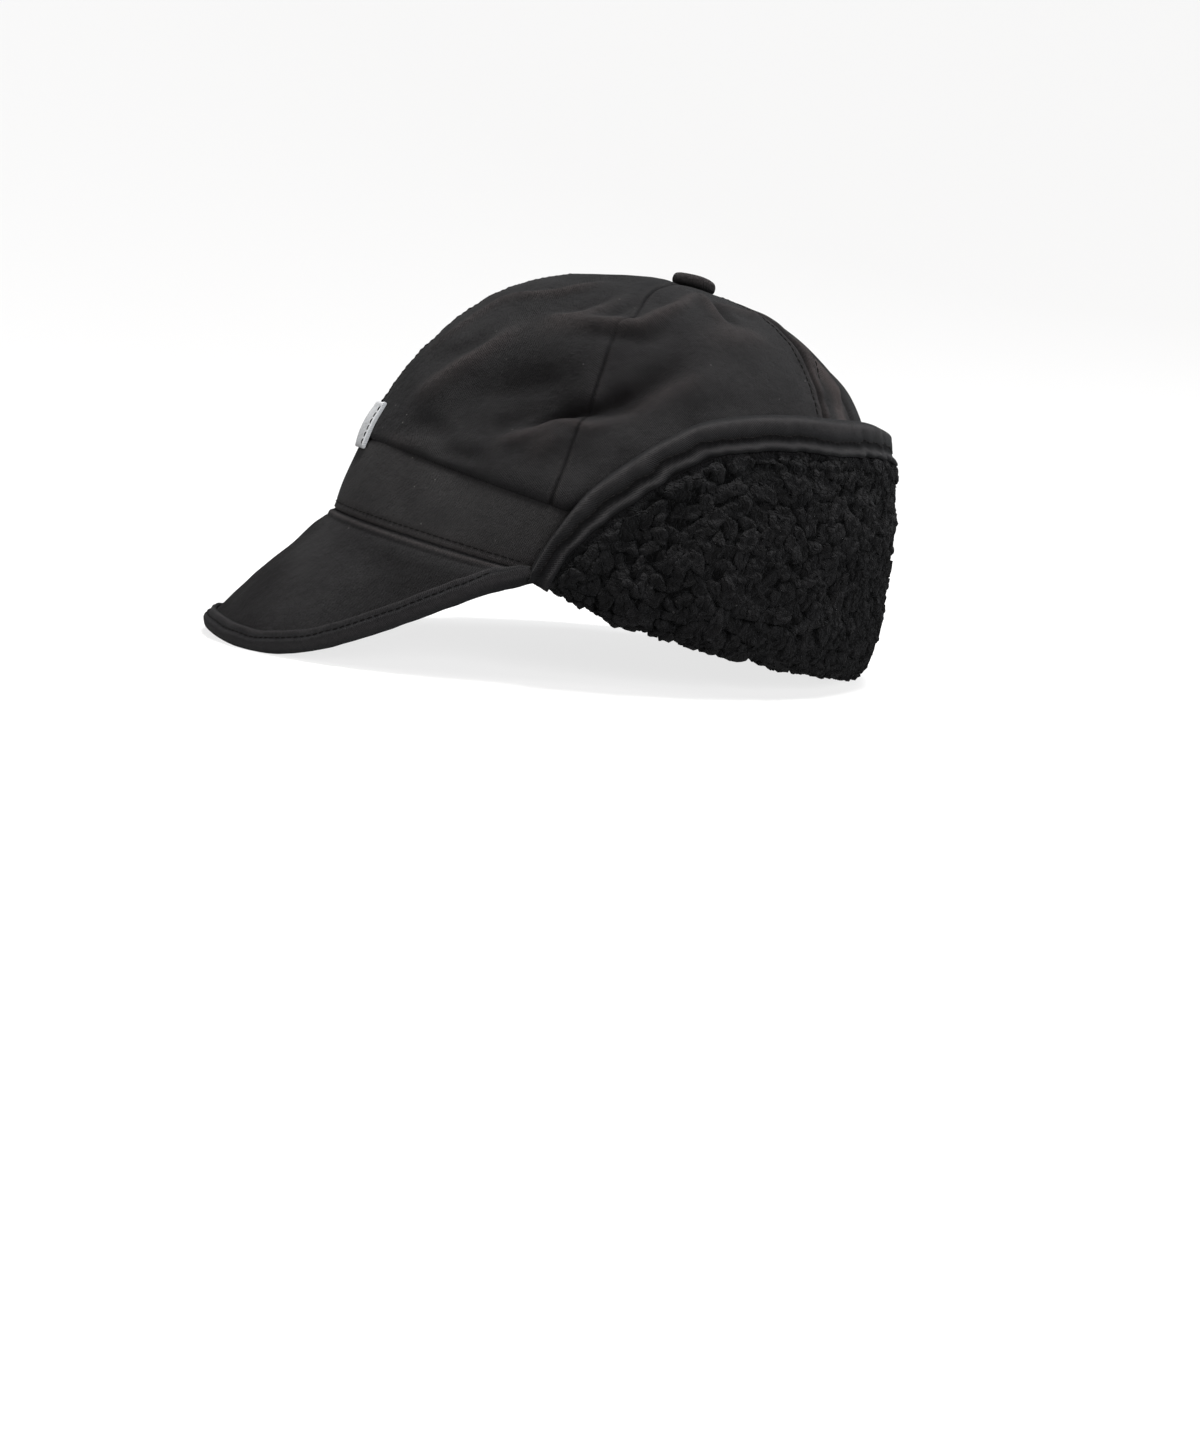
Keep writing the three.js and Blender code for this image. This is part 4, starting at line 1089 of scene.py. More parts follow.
# Edge of the peak: to the side, forward and up of the rim's centre
peakEdgeTable = [
    (0, 136.4, -51.7), (11.7, 135.0, -51.7), (22.8, 131.3, -51.8), (33.2, 125.8, -51.5),
    (42.6, 118.8, -50.1), (50.7, 111.0, -47.0), (57.7, 102.6, -42.5), (68.2, 85.5, -30.3),
    (75.5, 67.9, -16.5), (79.2, 54.0, -6.0), (80.9, 45.9, -1.9),
]


# Smooth line through unevenly spaced points, at shares of its length, with its directions and its length
def sewnLine(points, shares):
    points = np.asarray(points, float)
    padded = withEnds(points)
    dense = []
    t = np.linspace(0, 1, 25)[:-1, None]     # twenty-four steps between two points
    for p0, p1, p2, p3 in zip(padded[:-3], padded[1:-2], padded[2:-1], padded[3:]):
        d0, d1, d2 = (math.sqrt(np.linalg.norm(b - a)) for a, b in ((p0, p1), (p1, p2), (p2, p3)))
        startSlope = ((p1 - p0) / d0 - (p2 - p0) / (d0 + d1) + (p2 - p1) / d1) * d1
        endSlope = ((p2 - p1) / d1 - (p3 - p1) / (d1 + d2) + (p3 - p2) / d2) * d1
        square = -3 * p1 + 3 * p2 - 2 * startSlope - endSlope
        cube = 2 * p1 - 2 * p2 + startSlope + endSlope
        dense.append(p1 + startSlope * t + square * t ** 2 + cube * t ** 3)
    dense = np.concatenate(dense + [points[-1:]])
    length = runLength(dense)
    at = np.asarray(shares) * length[-1]
    step = length[-1] * 0.002                # its direction is taken over this far each way
    ahead = readLine(dense, length, np.minimum(at + step, length[-1]))
    behind = readLine(dense, length, np.maximum(at - step, 0))
    return readLine(dense, length, at), unit(ahead - behind), length[-1]


# Along the peak's edge: its root, outward and upward directions, its reach, the distance from the first end,
# and how fully it is shaped and how thick it is there, as shares
def peakFrame(columns):
    shares = np.linspace(0, 1, columns)
    rows = peakEdgeTable[:0:-1] + [(-side, forward, up) for side, forward, up in peakEdgeTable]
    edge, along, length = sewnLine([(side, -forward, up) for side, forward, up in rows], shares)
    root = crownPoint(peak["halfAngle"] * (1 - 2 * shares), -peak["rootDrop"], -peak["rootInset"])
    reach = np.linalg.norm(edge - root, axis=-1)
    out = unit(edge - root)
    top = unit(np.cross(along, out))
    top = np.where(top[:, 2:] < 0, -top, top)
    scale = np.clip((reach - peak["edgeInset"]) / peak["fullLength"], 0, 1)
    thickness = rampUp(peak["endShare"], 0, peak["endTaper"], np.minimum(shares, 1 - shares) * length)
    return root, out, top, reach, shares * length, scale, thickness


# Distances from the root, closer together over the rolled seam
def peakRows(end):
    count = peak["rootRows"]
    reach = np.minimum(peak["rootReach"], end * peak["rootReachShare"])
    near = np.linspace(0, 1, count)[None, :] * reach
    far = near[:, -1:] + (end - near[:, -1:]) * np.linspace(0, 1, peak["rows"] - count + 1)[None, 1:]
    return np.concatenate([near, far], axis=1)


def makePeak():
    root, out, top, reach, _, scale, thickness = peakFrame(peak["columns"])
    end = (reach - peak["edgeInset"])[:, None]
    scale = scale[:, None]
    at = peakRows(end)
    kernel = np.array([1, 2, 3, 2, 1]) / 9   # rounds the section's corners
    soft = np.pad(np.interp(at / end, *np.array(peakSection).T), ((0, 0), (2, 2)), mode="edge")
    lift = sum(soft[:, k:k + at.shape[1]] * kernel[k] for k in range(5)) * peak["swell"] * scale
    plain = root[:, None] + out[:, None] * at[..., None]
    half = peak["wall"] / 2 * rampUp(peak["rootShare"], 0, peak["rootTaper"], at)
    roll = stripe(at, *peak["rootRoll"]) * np.clip(scale * peak["rollWidens"], 0, 1)
    groove = stripe(at, *peak["rootGroove"]) * scale
    quiet = smoothStep(*peak["quietRoot"], at) * smoothStep(0, peak["quietEdge"], end - at)
    ripple = peak["ripple"] * unevenness(plain, peak["rippleSize"], 12)
    ripple = (ripple + peak["fineRipple"] * unevenness(plain, peak["fineRippleSize"], 13)) * quiet
    upper = plain + top[:, None] * (lift + half + roll + groove + ripple)[..., None]
    below = -half * thickness[:, None] - peak["rollBelow"] * roll + peak["rippleBelow"] * ripple
    lower = plain + top[:, None] * (lift + below)[..., None]
    # Painted shade in soft patches, in the groove beside the rolled seam and at the root
    dark = smoothStep(*peak["darkPatchEdge"], unevenness(plain, peak["darkPatchSize"], 14))
    dark = peak["darkPatch"] * dark * quiet + stripe(at, *peak["darkGroove"]) + stripe(at, *peak["darkRoot"])
    marks = {"wearAndHighlight": np.clip(stripe(at, *peak["paleRoll"]), 0, 1), "paintedShade": np.clip(dark, 0, 1)}
    makePiece("sewn_peak", clothBody("peak", upper, lower, False, marks), twill, ["peak"])


peakTape = {
    "leg": 6.5,
    "legShare": 0.62,          # the most of the peak's reach that it covers
    "wall": 1.15,
    "slot": 0.5,
    "slotEnd": 1.4,            # distance from the fold to the end of the slot
    "columns": 300,
    "rows": 44,
    "bow": 0.6,                # share of the peak's swell that it follows
    "bowOver": 0.2,            # and the share of the reach over which it does
    "pulls": 0.14,             # how the sewing pulls its thickness and its edge about
    "pullSize": 8,
    "slowPulls": 0.10,
    "slowPullSize": 46,
    "wander": 0.02,
    "paleRoll": (0.6, 0.05, 0.1),  # lines of painted highlight and painted shade along it, as strength, width and place in shares of its section
    "paleEdge": (0.5, 0.12, 0.38),
    "darkStitch": (0.5, 0.025, 0.2),
    "darkHem": (1, 0.03),
    "stitchRows": (9, 34),
    "stitchEnds": 14,
}
# Section of the peak's tape, upper half: distance back from the fold as a share of the leg, height above the
# slot as a share of the tape's wall
peakTapeSection = [(1.0, 0.05), (0.97, 0.75), (0.86, 1.25), (0.66, 0.95), (0.42, 1.1), (0.22, 1.15)]
# The fold itself: distance back as a share of the wall, height as a share of the slot
peakTapeFold = [(0.1, 0.8), (-0.3, 0.1), (0.1, -0.8)]


def makePeakTape():
    root, out, top, reach, run, scale, thickness = peakFrame(peakTape["columns"])
    slot = peak["wall"] / 2 + peakTape["slot"]
    wall = peakTape["wall"]
    legs = np.minimum(peakTape["leg"], reach * peakTape["legShare"])
    line = np.stack([run, run * 0, run * 0], -1)
    slow = unevenness(line, peakTape["slowPullSize"], 22)
    fatness = 1 + peakTape["pulls"] * unevenness(line, peakTape["pullSize"], 21)
    fatness = fatness + peakTape["slowPulls"] * slow

    def at(back, up, k):
        follows = min(max(back - peak["edgeInset"], 0) / (reach[k] * peakTape["bowOver"]), 1)
        bow = peak["swell"] * peakTape["bow"] * scale[k] * follows
        return root[k] + out[k] * (reach[k] - back) + top[k] * (up + bow)

    outer = []
    inner = []
    for k, (leg, fat, thin) in enumerate(zip(legs, fatness, thickness)):
        shift = peakTape["wander"] * slow[k]
        stops = [(leg * (back + shift), slot + wall * up * fat) for back, up in peakTapeSection]
        stops += [(wall * back, slot * up) for back, up in peakTapeFold]
        stops += [(leg * back, -(slot + wall * up * fat) * thin) for back, up in peakTapeSection[::-1]]
        outer.append(smoothPath([at(back, up, k) for back, up in stops], peakTape["rows"]))
        inside = [(leg, 1), (leg * 0.5, 1), (peakTape["slotEnd"], 0.8)]
        inside += [(peakTape["slotEnd"], 0)] + [(back, -up) for back, up in inside[::-1]]
        inner.append([at(back, slot * up, k) for back, up in inside])
    outer = np.array(outer)
    row = np.linspace(0, 1, peakTape["rows"])[None, :]
    # Painted highlight on its ridge and by the fold, painted shade in the stitch trough and at the hem
    marks = {
        "wearAndHighlight": stripe(row, *peakTape["paleRoll"]) + stripe(row, *peakTape["paleEdge"]),
        "paintedShade": stripe(row, *peakTape["darkStitch"]) + stripe(row, *peakTape["darkHem"]),
    }
    mesh = clothBody("peak_binding", outer, np.array(inner), False, marks, hemSteps=1, hemBulge=0.1)
    makePiece("sewn_peak_binding", mesh, tape, ["peak_binding"])
    keep = slice(peakTape["stitchEnds"], -peakTape["stitchEnds"])
    for side, stitchRow in zip((1, -1), peakTape["stitchRows"]):
        seamLines.append((outer[keep, stitchRow], top[keep] * side))


makePeak()
makePeakTape()
print("cap: peak made")

# Flap: cloth against the crown, fleece outside, and the tape folded over the edge of both

flap = {
    "gapToCrown": 0.6,
    "lift": 2.5,
    "liftFrom": 45.0,
    "liftRise": 35.0,
    "edgeLift": 2.4,
    "pinch": (12.8, 18.0),     # millimetres from the edge over which the tape's pinch ends
    "shellWall": 1.2,
    "layerGap": 0.5,
    "pile": 5.5,
    "pileAtEdge": 2.1,
    "pileRise": (0.4, 4.5),    # millimetres from the tape over which the pile rises
    "slimmerAtNape": 0.2,      # share by which the pile is thinner there
    "nape": (115, 165),        # degrees over which it gets so
    "edgeInset": 2.0,
    "firstColumn": 66.2,
    "footReach": 1.0,
    "rimGap": 0.3,             # between the rim and the layers under it
    "shellColumns": 240,
    "shellRows": 40,
    "shellFoot": 0.6,
    "slack": 0.12,             # unevenness of the shell's cloth
    "slackSize": 16,
    "slackFrom": (4, 14),
}
fleeceLook = {
    "columns": 600,
    "rows": 134,
    "curlSpacing": 4.4,        # millimetres between the curls
    "curlRadius": 3.05,
    "curlHeight": 2.9,
    "sizes": (0.75, 1.3),      # between which shares of them the curls vary, and their spacing
    "heights": (0.6, 1.15),
    "spacings": (0.8, 1.25),
    "longSide": 1.42,          # a curl's length and width as shares of its radius
    "shortSide": 0.78,
    "eye": (-0.5, 0.34),       # the dip in a curl's middle, as shares of its height and its radius
    "mouth": 0.35,             # depth of the place where its ring is open
    "mouthFrom": (0.1, 0.5),
    "sunk": 2.25,              # how far the pile's base lies under the plain surface
    "clumpSize": 15.0,
    "clump": 0.55,
    "twistPitch": 2.3,
    "twist": 0.4,
    "twistFrom": (0.05, 0.3),
    "twistTo": (0.8, 1.0),
    "bend": 0.62,              # how far the curls' outlines are pushed about, in millimetres
    "bendSize": 4.2,
    "spill": 0.75,             # how far a curl's sides lean outward, as a share of its radius
    "grain": 0.22,
    "grainSize": 2.2,
    "roomByTape": (-0.5, 3.5),  # millimetres, rows and millimetres over which the curls start
    "roomAtFoot": (0, 5),
    "roomAtSides": (-0.5, 4),
    "pale": 0.55,              # painted highlight on the curls' tops, and how dark the painted shade in the gaps is
    "dark": 0.75,
    "darkSpan": 2.2,
    "sideRows": 22,            # rows that guide the skins up the flap, from this share of its height
    "sideFrom": 0.04,
    "rollSlimmerAtNape": 0.08,
}
tapeLook = {
    "columns": 420,
    "rows": 40,
    "wall": 1.2,
    "legOutside": 10.5,
    "legAtTemple": 0.62,       # the share of it that is left at the temples
    "legWidens": (4, 34),
    "legInside": 6.5,
    "frontDrop": 4.4,
    "frontDropLength": 9.0,
    "gap": 0.3,                # to the layers that it is folded over, and its slack on top of that
    "slack": 0.4,
    "endLength": 3.2,          # millimetres over which the sewn ends close
    "endShare": 0.3,           # of the thickness that is left there
    "endColumns": 9,
    "pullSizes": (9, 40),      # the sewing's short and long pulls, in millimetres
    "pulls": (0.13, 0.1),      # how much they change its thickness, also beside the fleece, and its width
    "pullsByFleece": (0.3, 0.14),
    "pullsOfWidth": (0.03, 0.035),
    "paleRoll": (0.5, 0.04, 0.12),  # lines of painted highlight and painted shade along it, as strength, width and place in shares of its section
    "paleRidge": (0.7, 0.07, 0.45),
    "darkTrough": (0.9, 0.05, 0.24),
    "darkHem": (1, 0.03),
    "stitchAt": 0.25,
    "stitchEnds": 8,
}
angleToLength = (crown["halfWidth"] + crown["halfLength"]) / 2 * degree
mirroredEdge = flapEdgeTable + [(360 - a, h) for a, h in flapEdgeTable[-2::-1]]
edgePath = [(a * angleToLength, h) for a, h in mirroredEdge]


def baseLift(height):
    rise = np.maximum(height - flap["liftFrom"], 0) / flap["liftRise"]
    return flap["gapToCrown"] + flap["lift"] * rise * rise


edgeSamples, _, edgeLength = sewnLine(edgePath, np.linspace(0, 1, 181))
edgePoints = crownPoint(edgeSamples[:, 0] / angleToLength, edgeSamples[:, 1], baseLift(edgeSamples[:, 1]))


# Width of the tape's outer leg, which narrows toward the temples, at shares of the edge's length
def tapeLeg(share):
    fromEnd = np.minimum(share, 1 - share) * edgeLength
    return tapeLook["legOutside"] * rampUp(tapeLook["legAtTemple"], *tapeLook["legWidens"], fromEnd)


# Distance on the flap to its upper edge, and the width of the tape's leg there
def edgeDistance(angle, height):
    angle, height = np.broadcast_arrays(np.asarray(angle, float), np.asarray(height, float))
    places = crownPoint(angle, height, baseLift(height)).reshape(-1, 3)
    start = edgePoints[:-1]
    along = edgePoints[1:] - start
    square = np.sum(along * along, -1)
    nearest = np.empty(len(places))
    share = np.empty(len(places))
    batch = 6000                             # places worked out together
    for k in range(0, len(places), batch):
        away = places[k:k + batch, None, :] - start[None]
        t = np.clip(np.sum(away * along, -1) / square, 0, 1)
        away -= t[..., None] * along
        squares = np.sum(away * away, -1)
        nearest[k:k + batch] = np.sqrt(np.min(squares, axis=1))
        share[k:k + batch] = np.argmin(squares, axis=1) / len(start)
    return nearest.reshape(angle.shape), tapeLeg(share).reshape(angle.shape)


# How far the flap's inside stands off the crown, a little more where the tape pinches its edge
def flapInside(angle, height):
    distance, _ = edgeDistance(angle, height)
    nearEdge = 1 - smoothStep(*flap["pinch"], distance)
    pinched = flap["gapToCrown"] + (flap["edgeLift"] - flap["gapToCrown"]) * nearEdge
    return np.maximum(baseLift(height), pinched)


# Share of the pile's thickness, which is less toward the nape
def pileShare(angle):
    return 1 - flap["slimmerAtNape"] * smoothStep(*flap["nape"], foldedAngle(angle))


# Height at which the flap's layers end, just inside the tape's fold
def layerTop(angle):
    top = flapTop(angle).astype(float)
    for _ in range(60):
        tooNear = edgeDistance(angle, top)[0] < flap["edgeInset"]
        if not tooNear.any():
            break
        top = np.where(tooNear, top - 0.25, top)
    return top


def makeFlapShell():
    angle = np.linspace(flap["firstColumn"], 360 - flap["firstColumn"], flap["shellColumns"])[:, None]
    foot = flap["shellFoot"]
    rise = layerTop(angle[:, 0])[:, None] - foot
    height = foot + rise * np.linspace(0, 1, flap["shellRows"])[None, :]
    inside = flapInside(angle, height)
    corner = flapInside(angle, np.zeros_like(angle))
    slack = flap["slack"] * unevenness(crownPoint(angle, height), flap["slackSize"], 31)
    slack = slack * smoothStep(*flap["slackFrom"], height)
    wall = flap["shellWall"]
    rim = -flap["rimGap"]
    innerSkin = np.concatenate([
        crownPoint(angle, rim, -band["wall"]), crownPoint(angle, rim, corner),
        crownPoint(angle, height, inside + slack)], axis=1)
    outerSkin = np.concatenate([
        crownPoint(angle, rim - wall, -band["wall"]),
        crownPoint(angle, rim - wall * 0.8, corner + wall * 0.7),
        crownPoint(angle, height, inside + wall + slack)], axis=1)
    mesh = clothBody("earflap_shell", outerSkin, innerSkin, False, {}, hemSteps=2)
    makePiece("sewn_earflap_shell", mesh, twill, ["earflap_shell"])


# Depth of the fleece's roll under the rim: angle, depth
foldDepthTable = [
    (64, 2.4), (68, 4.0), (73, 6.4), (80, 9.0), (100, 10.4), (125, 9.6), (150, 9.8), (180, 10.2),
]
# Section of the roll: outward as a share of the flap's thickness, down as a share of the depth
rollSection = [(-0.40, 0.30), (-0.34, 0.66), (-0.12, 0.96), (0.14, 0.97), (0.46, 0.73), (0.80, 0.30)]


# The pile's outer and inner skins: under the rim and round its roll, then up the flap
def fleeceSkins():
    angle = np.linspace(flap["firstColumn"], 360 - flap["firstColumn"], fleeceLook["columns"])
    layers = flap["shellWall"] + flap["layerGap"]
    foot = -flap["rimGap"] - layers
    corner = flapInside(angle, np.zeros_like(angle)) + layers
    depth = np.interp(foldedAngle(angle), *np.array(foldDepthTable).T)
    rise = np.linspace(fleeceLook["sideFrom"], 1, fleeceLook["sideRows"])[None, :]
    height = layerTop(angle)[:, None] * rise
    inside = flapInside(angle[:, None], height) + layers

    def pileAt(height):
        distance, leg = edgeDistance(angle[:, None], height)
        rises = smoothStep(*flap["pileRise"], distance - leg)
        thick = flap["pileAtEdge"] + (flap["pile"] - flap["pileAtEdge"]) * rises
        return thick * pileShare(angle)[:, None]

    thickness = corner + pileAt(np.zeros((1, 1)))[:, 0]
    pileSurface = inside + pileAt(height)
    slimmer = 1 - fleeceLook["rollSlimmerAtNape"] * smoothStep(*flap["nape"], foldedAngle(angle))
    outer = []
    inner = []
    for k in range(len(angle)):
        roll = []
        for out, down in rollSection:
            reach = thickness[k] * out
            reach = reach * slimmer[k] if out > 0 else reach - flap["footReach"]
            roll.append(crownPoint(angle[k], min(foot - 0.6, -down * depth[k]), reach))
        side = crownPoint(angle[k], height[k, 1:], pileSurface[k, 1:])
        outer.append(smoothPath(np.concatenate([roll, side]), fleeceLook["rows"]))
        under = [(-band["wall"] - 0.2, 0.2), (-1.4, 0), (-0.4, 0)]
        under += [(corner[k] + out, down) for out, down in ((-1.4, 0), (-0.6, -0.2), (0, -0.9))]
        under = [crownPoint(angle[k], foot - down, out) for out, down in under]
        inner.append(np.concatenate([under, crownPoint(angle[k], height[k, 1::2], inside[k, 1::2])]))
    return angle, np.array(outer), np.array(inner)


def gridNormals(grid):
    sideways = np.gradient(grid, axis=0)
    upward = np.gradient(grid, axis=1)
    return unit(np.cross(sideways, upward))


# Curl centres scattered over the pile, no two nearer than the spacing
def scatterCurls(places, spacing):
    order = random.permutation(len(places))
    reach = spacing * random.uniform(*fleeceLook["spacings"], len(places))
    size = spacing * fleeceLook["spacings"][1]
    steps = [(dx - 1, dy - 1, dz - 1) for dx, dy, dz in np.ndindex(3, 3, 3)]
    cells = {}
    chosen = []
    for k in order:
        p = places[k]
        cx, cy, cz = np.floor(p / size).astype(int).tolist()
        clear = True
        for dx, dy, dz in steps:
            for other in cells.get((cx + dx, cy + dy, cz + dz), ()):
                q = places[other]
                gap = (p[0] - q[0]) ** 2 + (p[1] - q[1]) ** 2 + (p[2] - q[2]) ** 2
                clear = clear and gap >= reach[k] ** 2
        if clear:
            cells.setdefault((cx, cy, cz), []).append(k)
            chosen.append(k)
    return np.array(chosen)


# Raises curls on the pile's skin. Each is a dome with an eye and an open side, its yarn twists round it, and
# the highest of the nearest ones wins. Gives the skin, how near a curl's top each place is, and the count.
def curlPile(grid, normals, room):
    flat = grid.reshape(-1, 3)
    centres = scatterCurls(flat[::3], fleeceLook["curlSpacing"]) * 3
    count = len(centres)
    tree = kdtree.KDTree(count)
    for k, c in enumerate(centres):
        tree.insert(flat[c], k)
    tree.balance()
    near = np.array([[hit[1] for hit in tree.find_n(p, 5)] for p in flat])
    normal = normals.reshape(-1, 3)
    radius = fleeceLook["curlRadius"] * random.uniform(*fleeceLook["sizes"], count)
    tall = fleeceLook["curlHeight"] * random.uniform(*fleeceLook["heights"], count)
    turn = unit(random.normal(size=(count, 3)))
    hand = random.choice([-1, 1], count)
    phase = random.uniform(0, 2 * math.pi, count)
    centreNormal = normal[centres]
    lengthwise = unit(turn - np.sum(turn * centreNormal, -1, keepdims=True) * centreNormal)
    crosswise = np.cross(centreNormal, lengthwise)
    bent = [unevenness(flat, fleeceLook["bendSize"], seed) for seed in (43, 44, 45)]
    bent = flat + fleeceLook["bend"] * np.stack(bent, -1)
    best = np.full(len(flat), -1.0)
    push = np.zeros_like(flat)
    twist = np.zeros(len(flat))
    for c in near.T:
        away = bent - flat[centres[c]]
        a = np.sum(away * lengthwise[c], -1) / fleeceLook["longSide"]
        b = np.sum(away * crosswise[c], -1) / fleeceLook["shortSide"]
        d = np.sqrt(a * a + b * b) / radius[c]
        theta = np.arctan2(b, a)
        eye = 1 + stripe(d, *fleeceLook["eye"])
        opening = np.maximum(np.cos(theta - phase[c]), 0) ** 4 * smoothStep(*fleeceLook["mouthFrom"], d)
        dome = tall[c] * np.sqrt(np.clip(1 - d * d, 0, 1)) * eye * (1 - fleeceLook["mouth"] * opening)
        rope = np.cos(theta * hand[c] + d * radius[c] * 2 * math.pi / fleeceLook["twistPitch"] + phase[c])
        rope = rope * smoothStep(*fleeceLook["twistFrom"], d) * (1 - smoothStep(*fleeceLook["twistTo"], d))
        lean = np.clip(d, 0, 1) ** 2 * np.clip(1 - d ** 2, 0, 1) * radius[c] * fleeceLook["spill"]
        wins = dome > best
        best = np.where(wins, dome, best)
        twist = np.where(wins, rope, twist)
        push = np.where(wins[:, None], unit(away) * lean[:, None], push)
    best = np.maximum(best, 0)
    clumps = fleeceLook["clump"] * unevenness(flat, fleeceLook["clumpSize"], 41)
    grain = fleeceLook["grain"] * unevenness(flat, fleeceLook["grainSize"], 42)
    rise = best - fleeceLook["sunk"] + twist * fleeceLook["twist"] + clumps + grain
    room = room.reshape(-1)
    moved = flat + normal * (rise * room)[:, None] + push * room[:, None]
    topness = np.clip(best / fleeceLook["curlHeight"], 0, 1)
    return moved.reshape(grid.shape), topness.reshape(grid.shape[:2]), count


def makeFleece():
    angle, outer, inner = fleeceSkins()
    distance, leg = edgeDistance(angle[:, None], np.maximum(outer[..., 2], 0))
    fromSide = np.minimum(angle - flap["firstColumn"], 360 - flap["firstColumn"] - angle)[:, None]
    row = np.arange(outer.shape[1])[None, :]
    room = smoothStep(*fleeceLook["roomByTape"], distance - leg) * smoothStep(*fleeceLook["roomAtFoot"], row)
    room = room * smoothStep(*fleeceLook["roomAtSides"], fromSide * angleToLength)
    moved, topness, count = curlPile(outer, gridNormals(outer), room)
    # Painted highlight on the curls' tops, painted shade in the gaps between them
    gaps = np.clip(1 - topness * fleeceLook["darkSpan"], 0, 1)
    marks = {"wearAndHighlight": fleeceLook["pale"] * topness ** 2, "paintedShade": fleeceLook["dark"] * gaps * room}
    mesh = clothBody("earflap_fleece", moved, inner, False, marks, hemSteps=1, hemBulge=0.1)
    makePiece("curly_earflap_fleece", mesh, pile, ["earflap_fleece"])
    print("cap: fleece with", count, "curls,", len(mesh.polygons), "faces")


# Outer side of the flap's tape: distance back from the fold as a share of the leg, stand off the layers as a
# share of the wall. An outer roll, a sewn trough and a ridge by the fleece.
flapTapeSection = [
    (1.0, 0.1), (0.98, 0.9), (0.92, 1.35), (0.84, 1.25), (0.75, 0.5), (0.65, 0.35), (0.5, 0.8), (0.28, 1.15),
    (0.09, 1.3),
]


def makeFlapTape():
    ends = np.linspace(0, tapeLook["endLength"], tapeLook["endColumns"]) / edgeLength
    middle = np.linspace(ends[-1], 1 - ends[-1], tapeLook["columns"])[1:-1]
    shares = np.concatenate([ends, middle, 1 - ends[::-1]])
    edge, along, length = sewnLine(edgePath, shares)
    shrink = crownScale(edge[:, 1])
    down = unit(np.stack([along[:, 1], -along[:, 0] * shrink], -1))
    run = shares * length
    fromEnd = np.minimum(shares, 1 - shares) * length
    sag = tapeLook["frontDrop"] * hump(fromEnd, tapeLook["frontDropLength"])
    wall = tapeLook["wall"]
    leg = tapeLeg(shares)
    insideLeg = tapeLook["legInside"]
    layers = flap["shellWall"] + flap["layerGap"]
    layers = layers + flap["pileAtEdge"] * pileShare(edge[:, 0] / angleToLength)
    inside = -tapeLook["gap"] - tapeLook["slack"]
    flat = (layers - inside) * rampUp(tapeLook["endShare"], 0, tapeLook["endLength"], fromEnd)
    line = np.stack([run, run * 0, run * 0], -1)
    short, long = (unevenness(line, size, seed) for size, seed in zip(tapeLook["pullSizes"], (51, 52)))

    def pulled(shares):
        return shares[0] * short + shares[1] * long

    def place(back, depth, drops):
        angle = (edge[:, 0] + down[:, 0] * back / shrink) / angleToLength
        height = edge[:, 1] + down[:, 1] * back
        return crownPoint(angle, height - (sag if drops else 0), flapInside(angle, height) + depth)

    rows = []
    for back, stand in flapTapeSection:
        fat = 1 + pulled(tapeLook["pullsByFleece" if back > 0.6 else "pulls"])
        wide = 1 + smoothStep(0.4, 1.0, back) * pulled(tapeLook["pullsOfWidth"])
        rows.append(place(leg * back * wide, flat + wall * stand * fat, True))
    rows += [
        place(0.0, flat * 0.72, True), place(-0.25, flat * 0.38, False), place(0.5, inside * 0.5, False),
        place(insideLeg * 0.4, inside - wall, False), place(insideLeg, inside - wall, False)]
    outer = np.array([smoothPath(column, tapeLook["rows"]) for column in np.stack(rows, axis=1)])
    inner = np.stack([
        place(leg, flat, True), place(leg * 0.6, flat, True), place(leg * 0.25, flat, True),
        place(wall, flat * 0.95, True), place(wall, inside, False),
        place(insideLeg * 0.4, inside, False), place(insideLeg, inside, False)], axis=1)
    row = np.linspace(0, 1, tapeLook["rows"])[None, :]
    # Painted highlight on the ridge by the fleece and on the roll, painted shade in the sewn trough and at
    # the hem
    marks = {
        "wearAndHighlight": stripe(row, *tapeLook["paleRoll"]) + stripe(row, *tapeLook["paleRidge"]),
        "paintedShade": stripe(row, *tapeLook["darkTrough"]) + stripe(row, *tapeLook["darkHem"]),
    }
    mesh = clothBody("earflap_binding", outer, inner, False, marks, hemSteps=1, hemBulge=0.1)
    makePiece("sewn_earflap_binding", mesh, tape, ["earflap_binding"])
    normals = gridNormals(outer)
    outward = np.sum(normals[:, 10] * crownNormal(edge[:, 0] / angleToLength, edge[:, 1]), -1)
    facing = np.where(outward < 0, -1.0, 1.0)[:, None]
    stitchRow = int(tapeLook["stitchAt"] * tapeLook["rows"])
    keep = slice(tapeLook["stitchEnds"], tapeLook["columns"] - tapeLook["stitchEnds"])
    seamLines.append((outer[keep, stitchRow], (normals[:, stitchRow] * facing)[keep]))


makeFlapShell()
makeFleece()
makeFlapTape()
print("cap: flap made")

# Button of covered cloth where the gores meet

button = {
    "radius": 8.0,
    "thickness": 5.0,
    "forward": 0.8,
    "seat": 0.3,
    "sides": 96,
    "rows": 44,
    "gathers": 14,
    "gatherDepth": 0.02,
    "wave": 0.10,              # unevenness of its top
    "underEdge": (0.1, 0.5),   # heights as shares of its thickness between which its under side ends
    "paleRim": (0.5, 0.1, 0.92),
    # painted shade on its under side
    "darkUnder": 0.8,
}
# Half section of the button: radius and height as shares
buttonSection = [
    (0.02, 0.0), (0.45, 0.0), (0.66, 0.05), (0.86, 0.13), (0.97, 0.30), (1.0, 0.52),
    (0.97, 0.76), (0.86, 0.93), (0.62, 1.0), (0.35, 1.03), (0.02, 1.04),
]


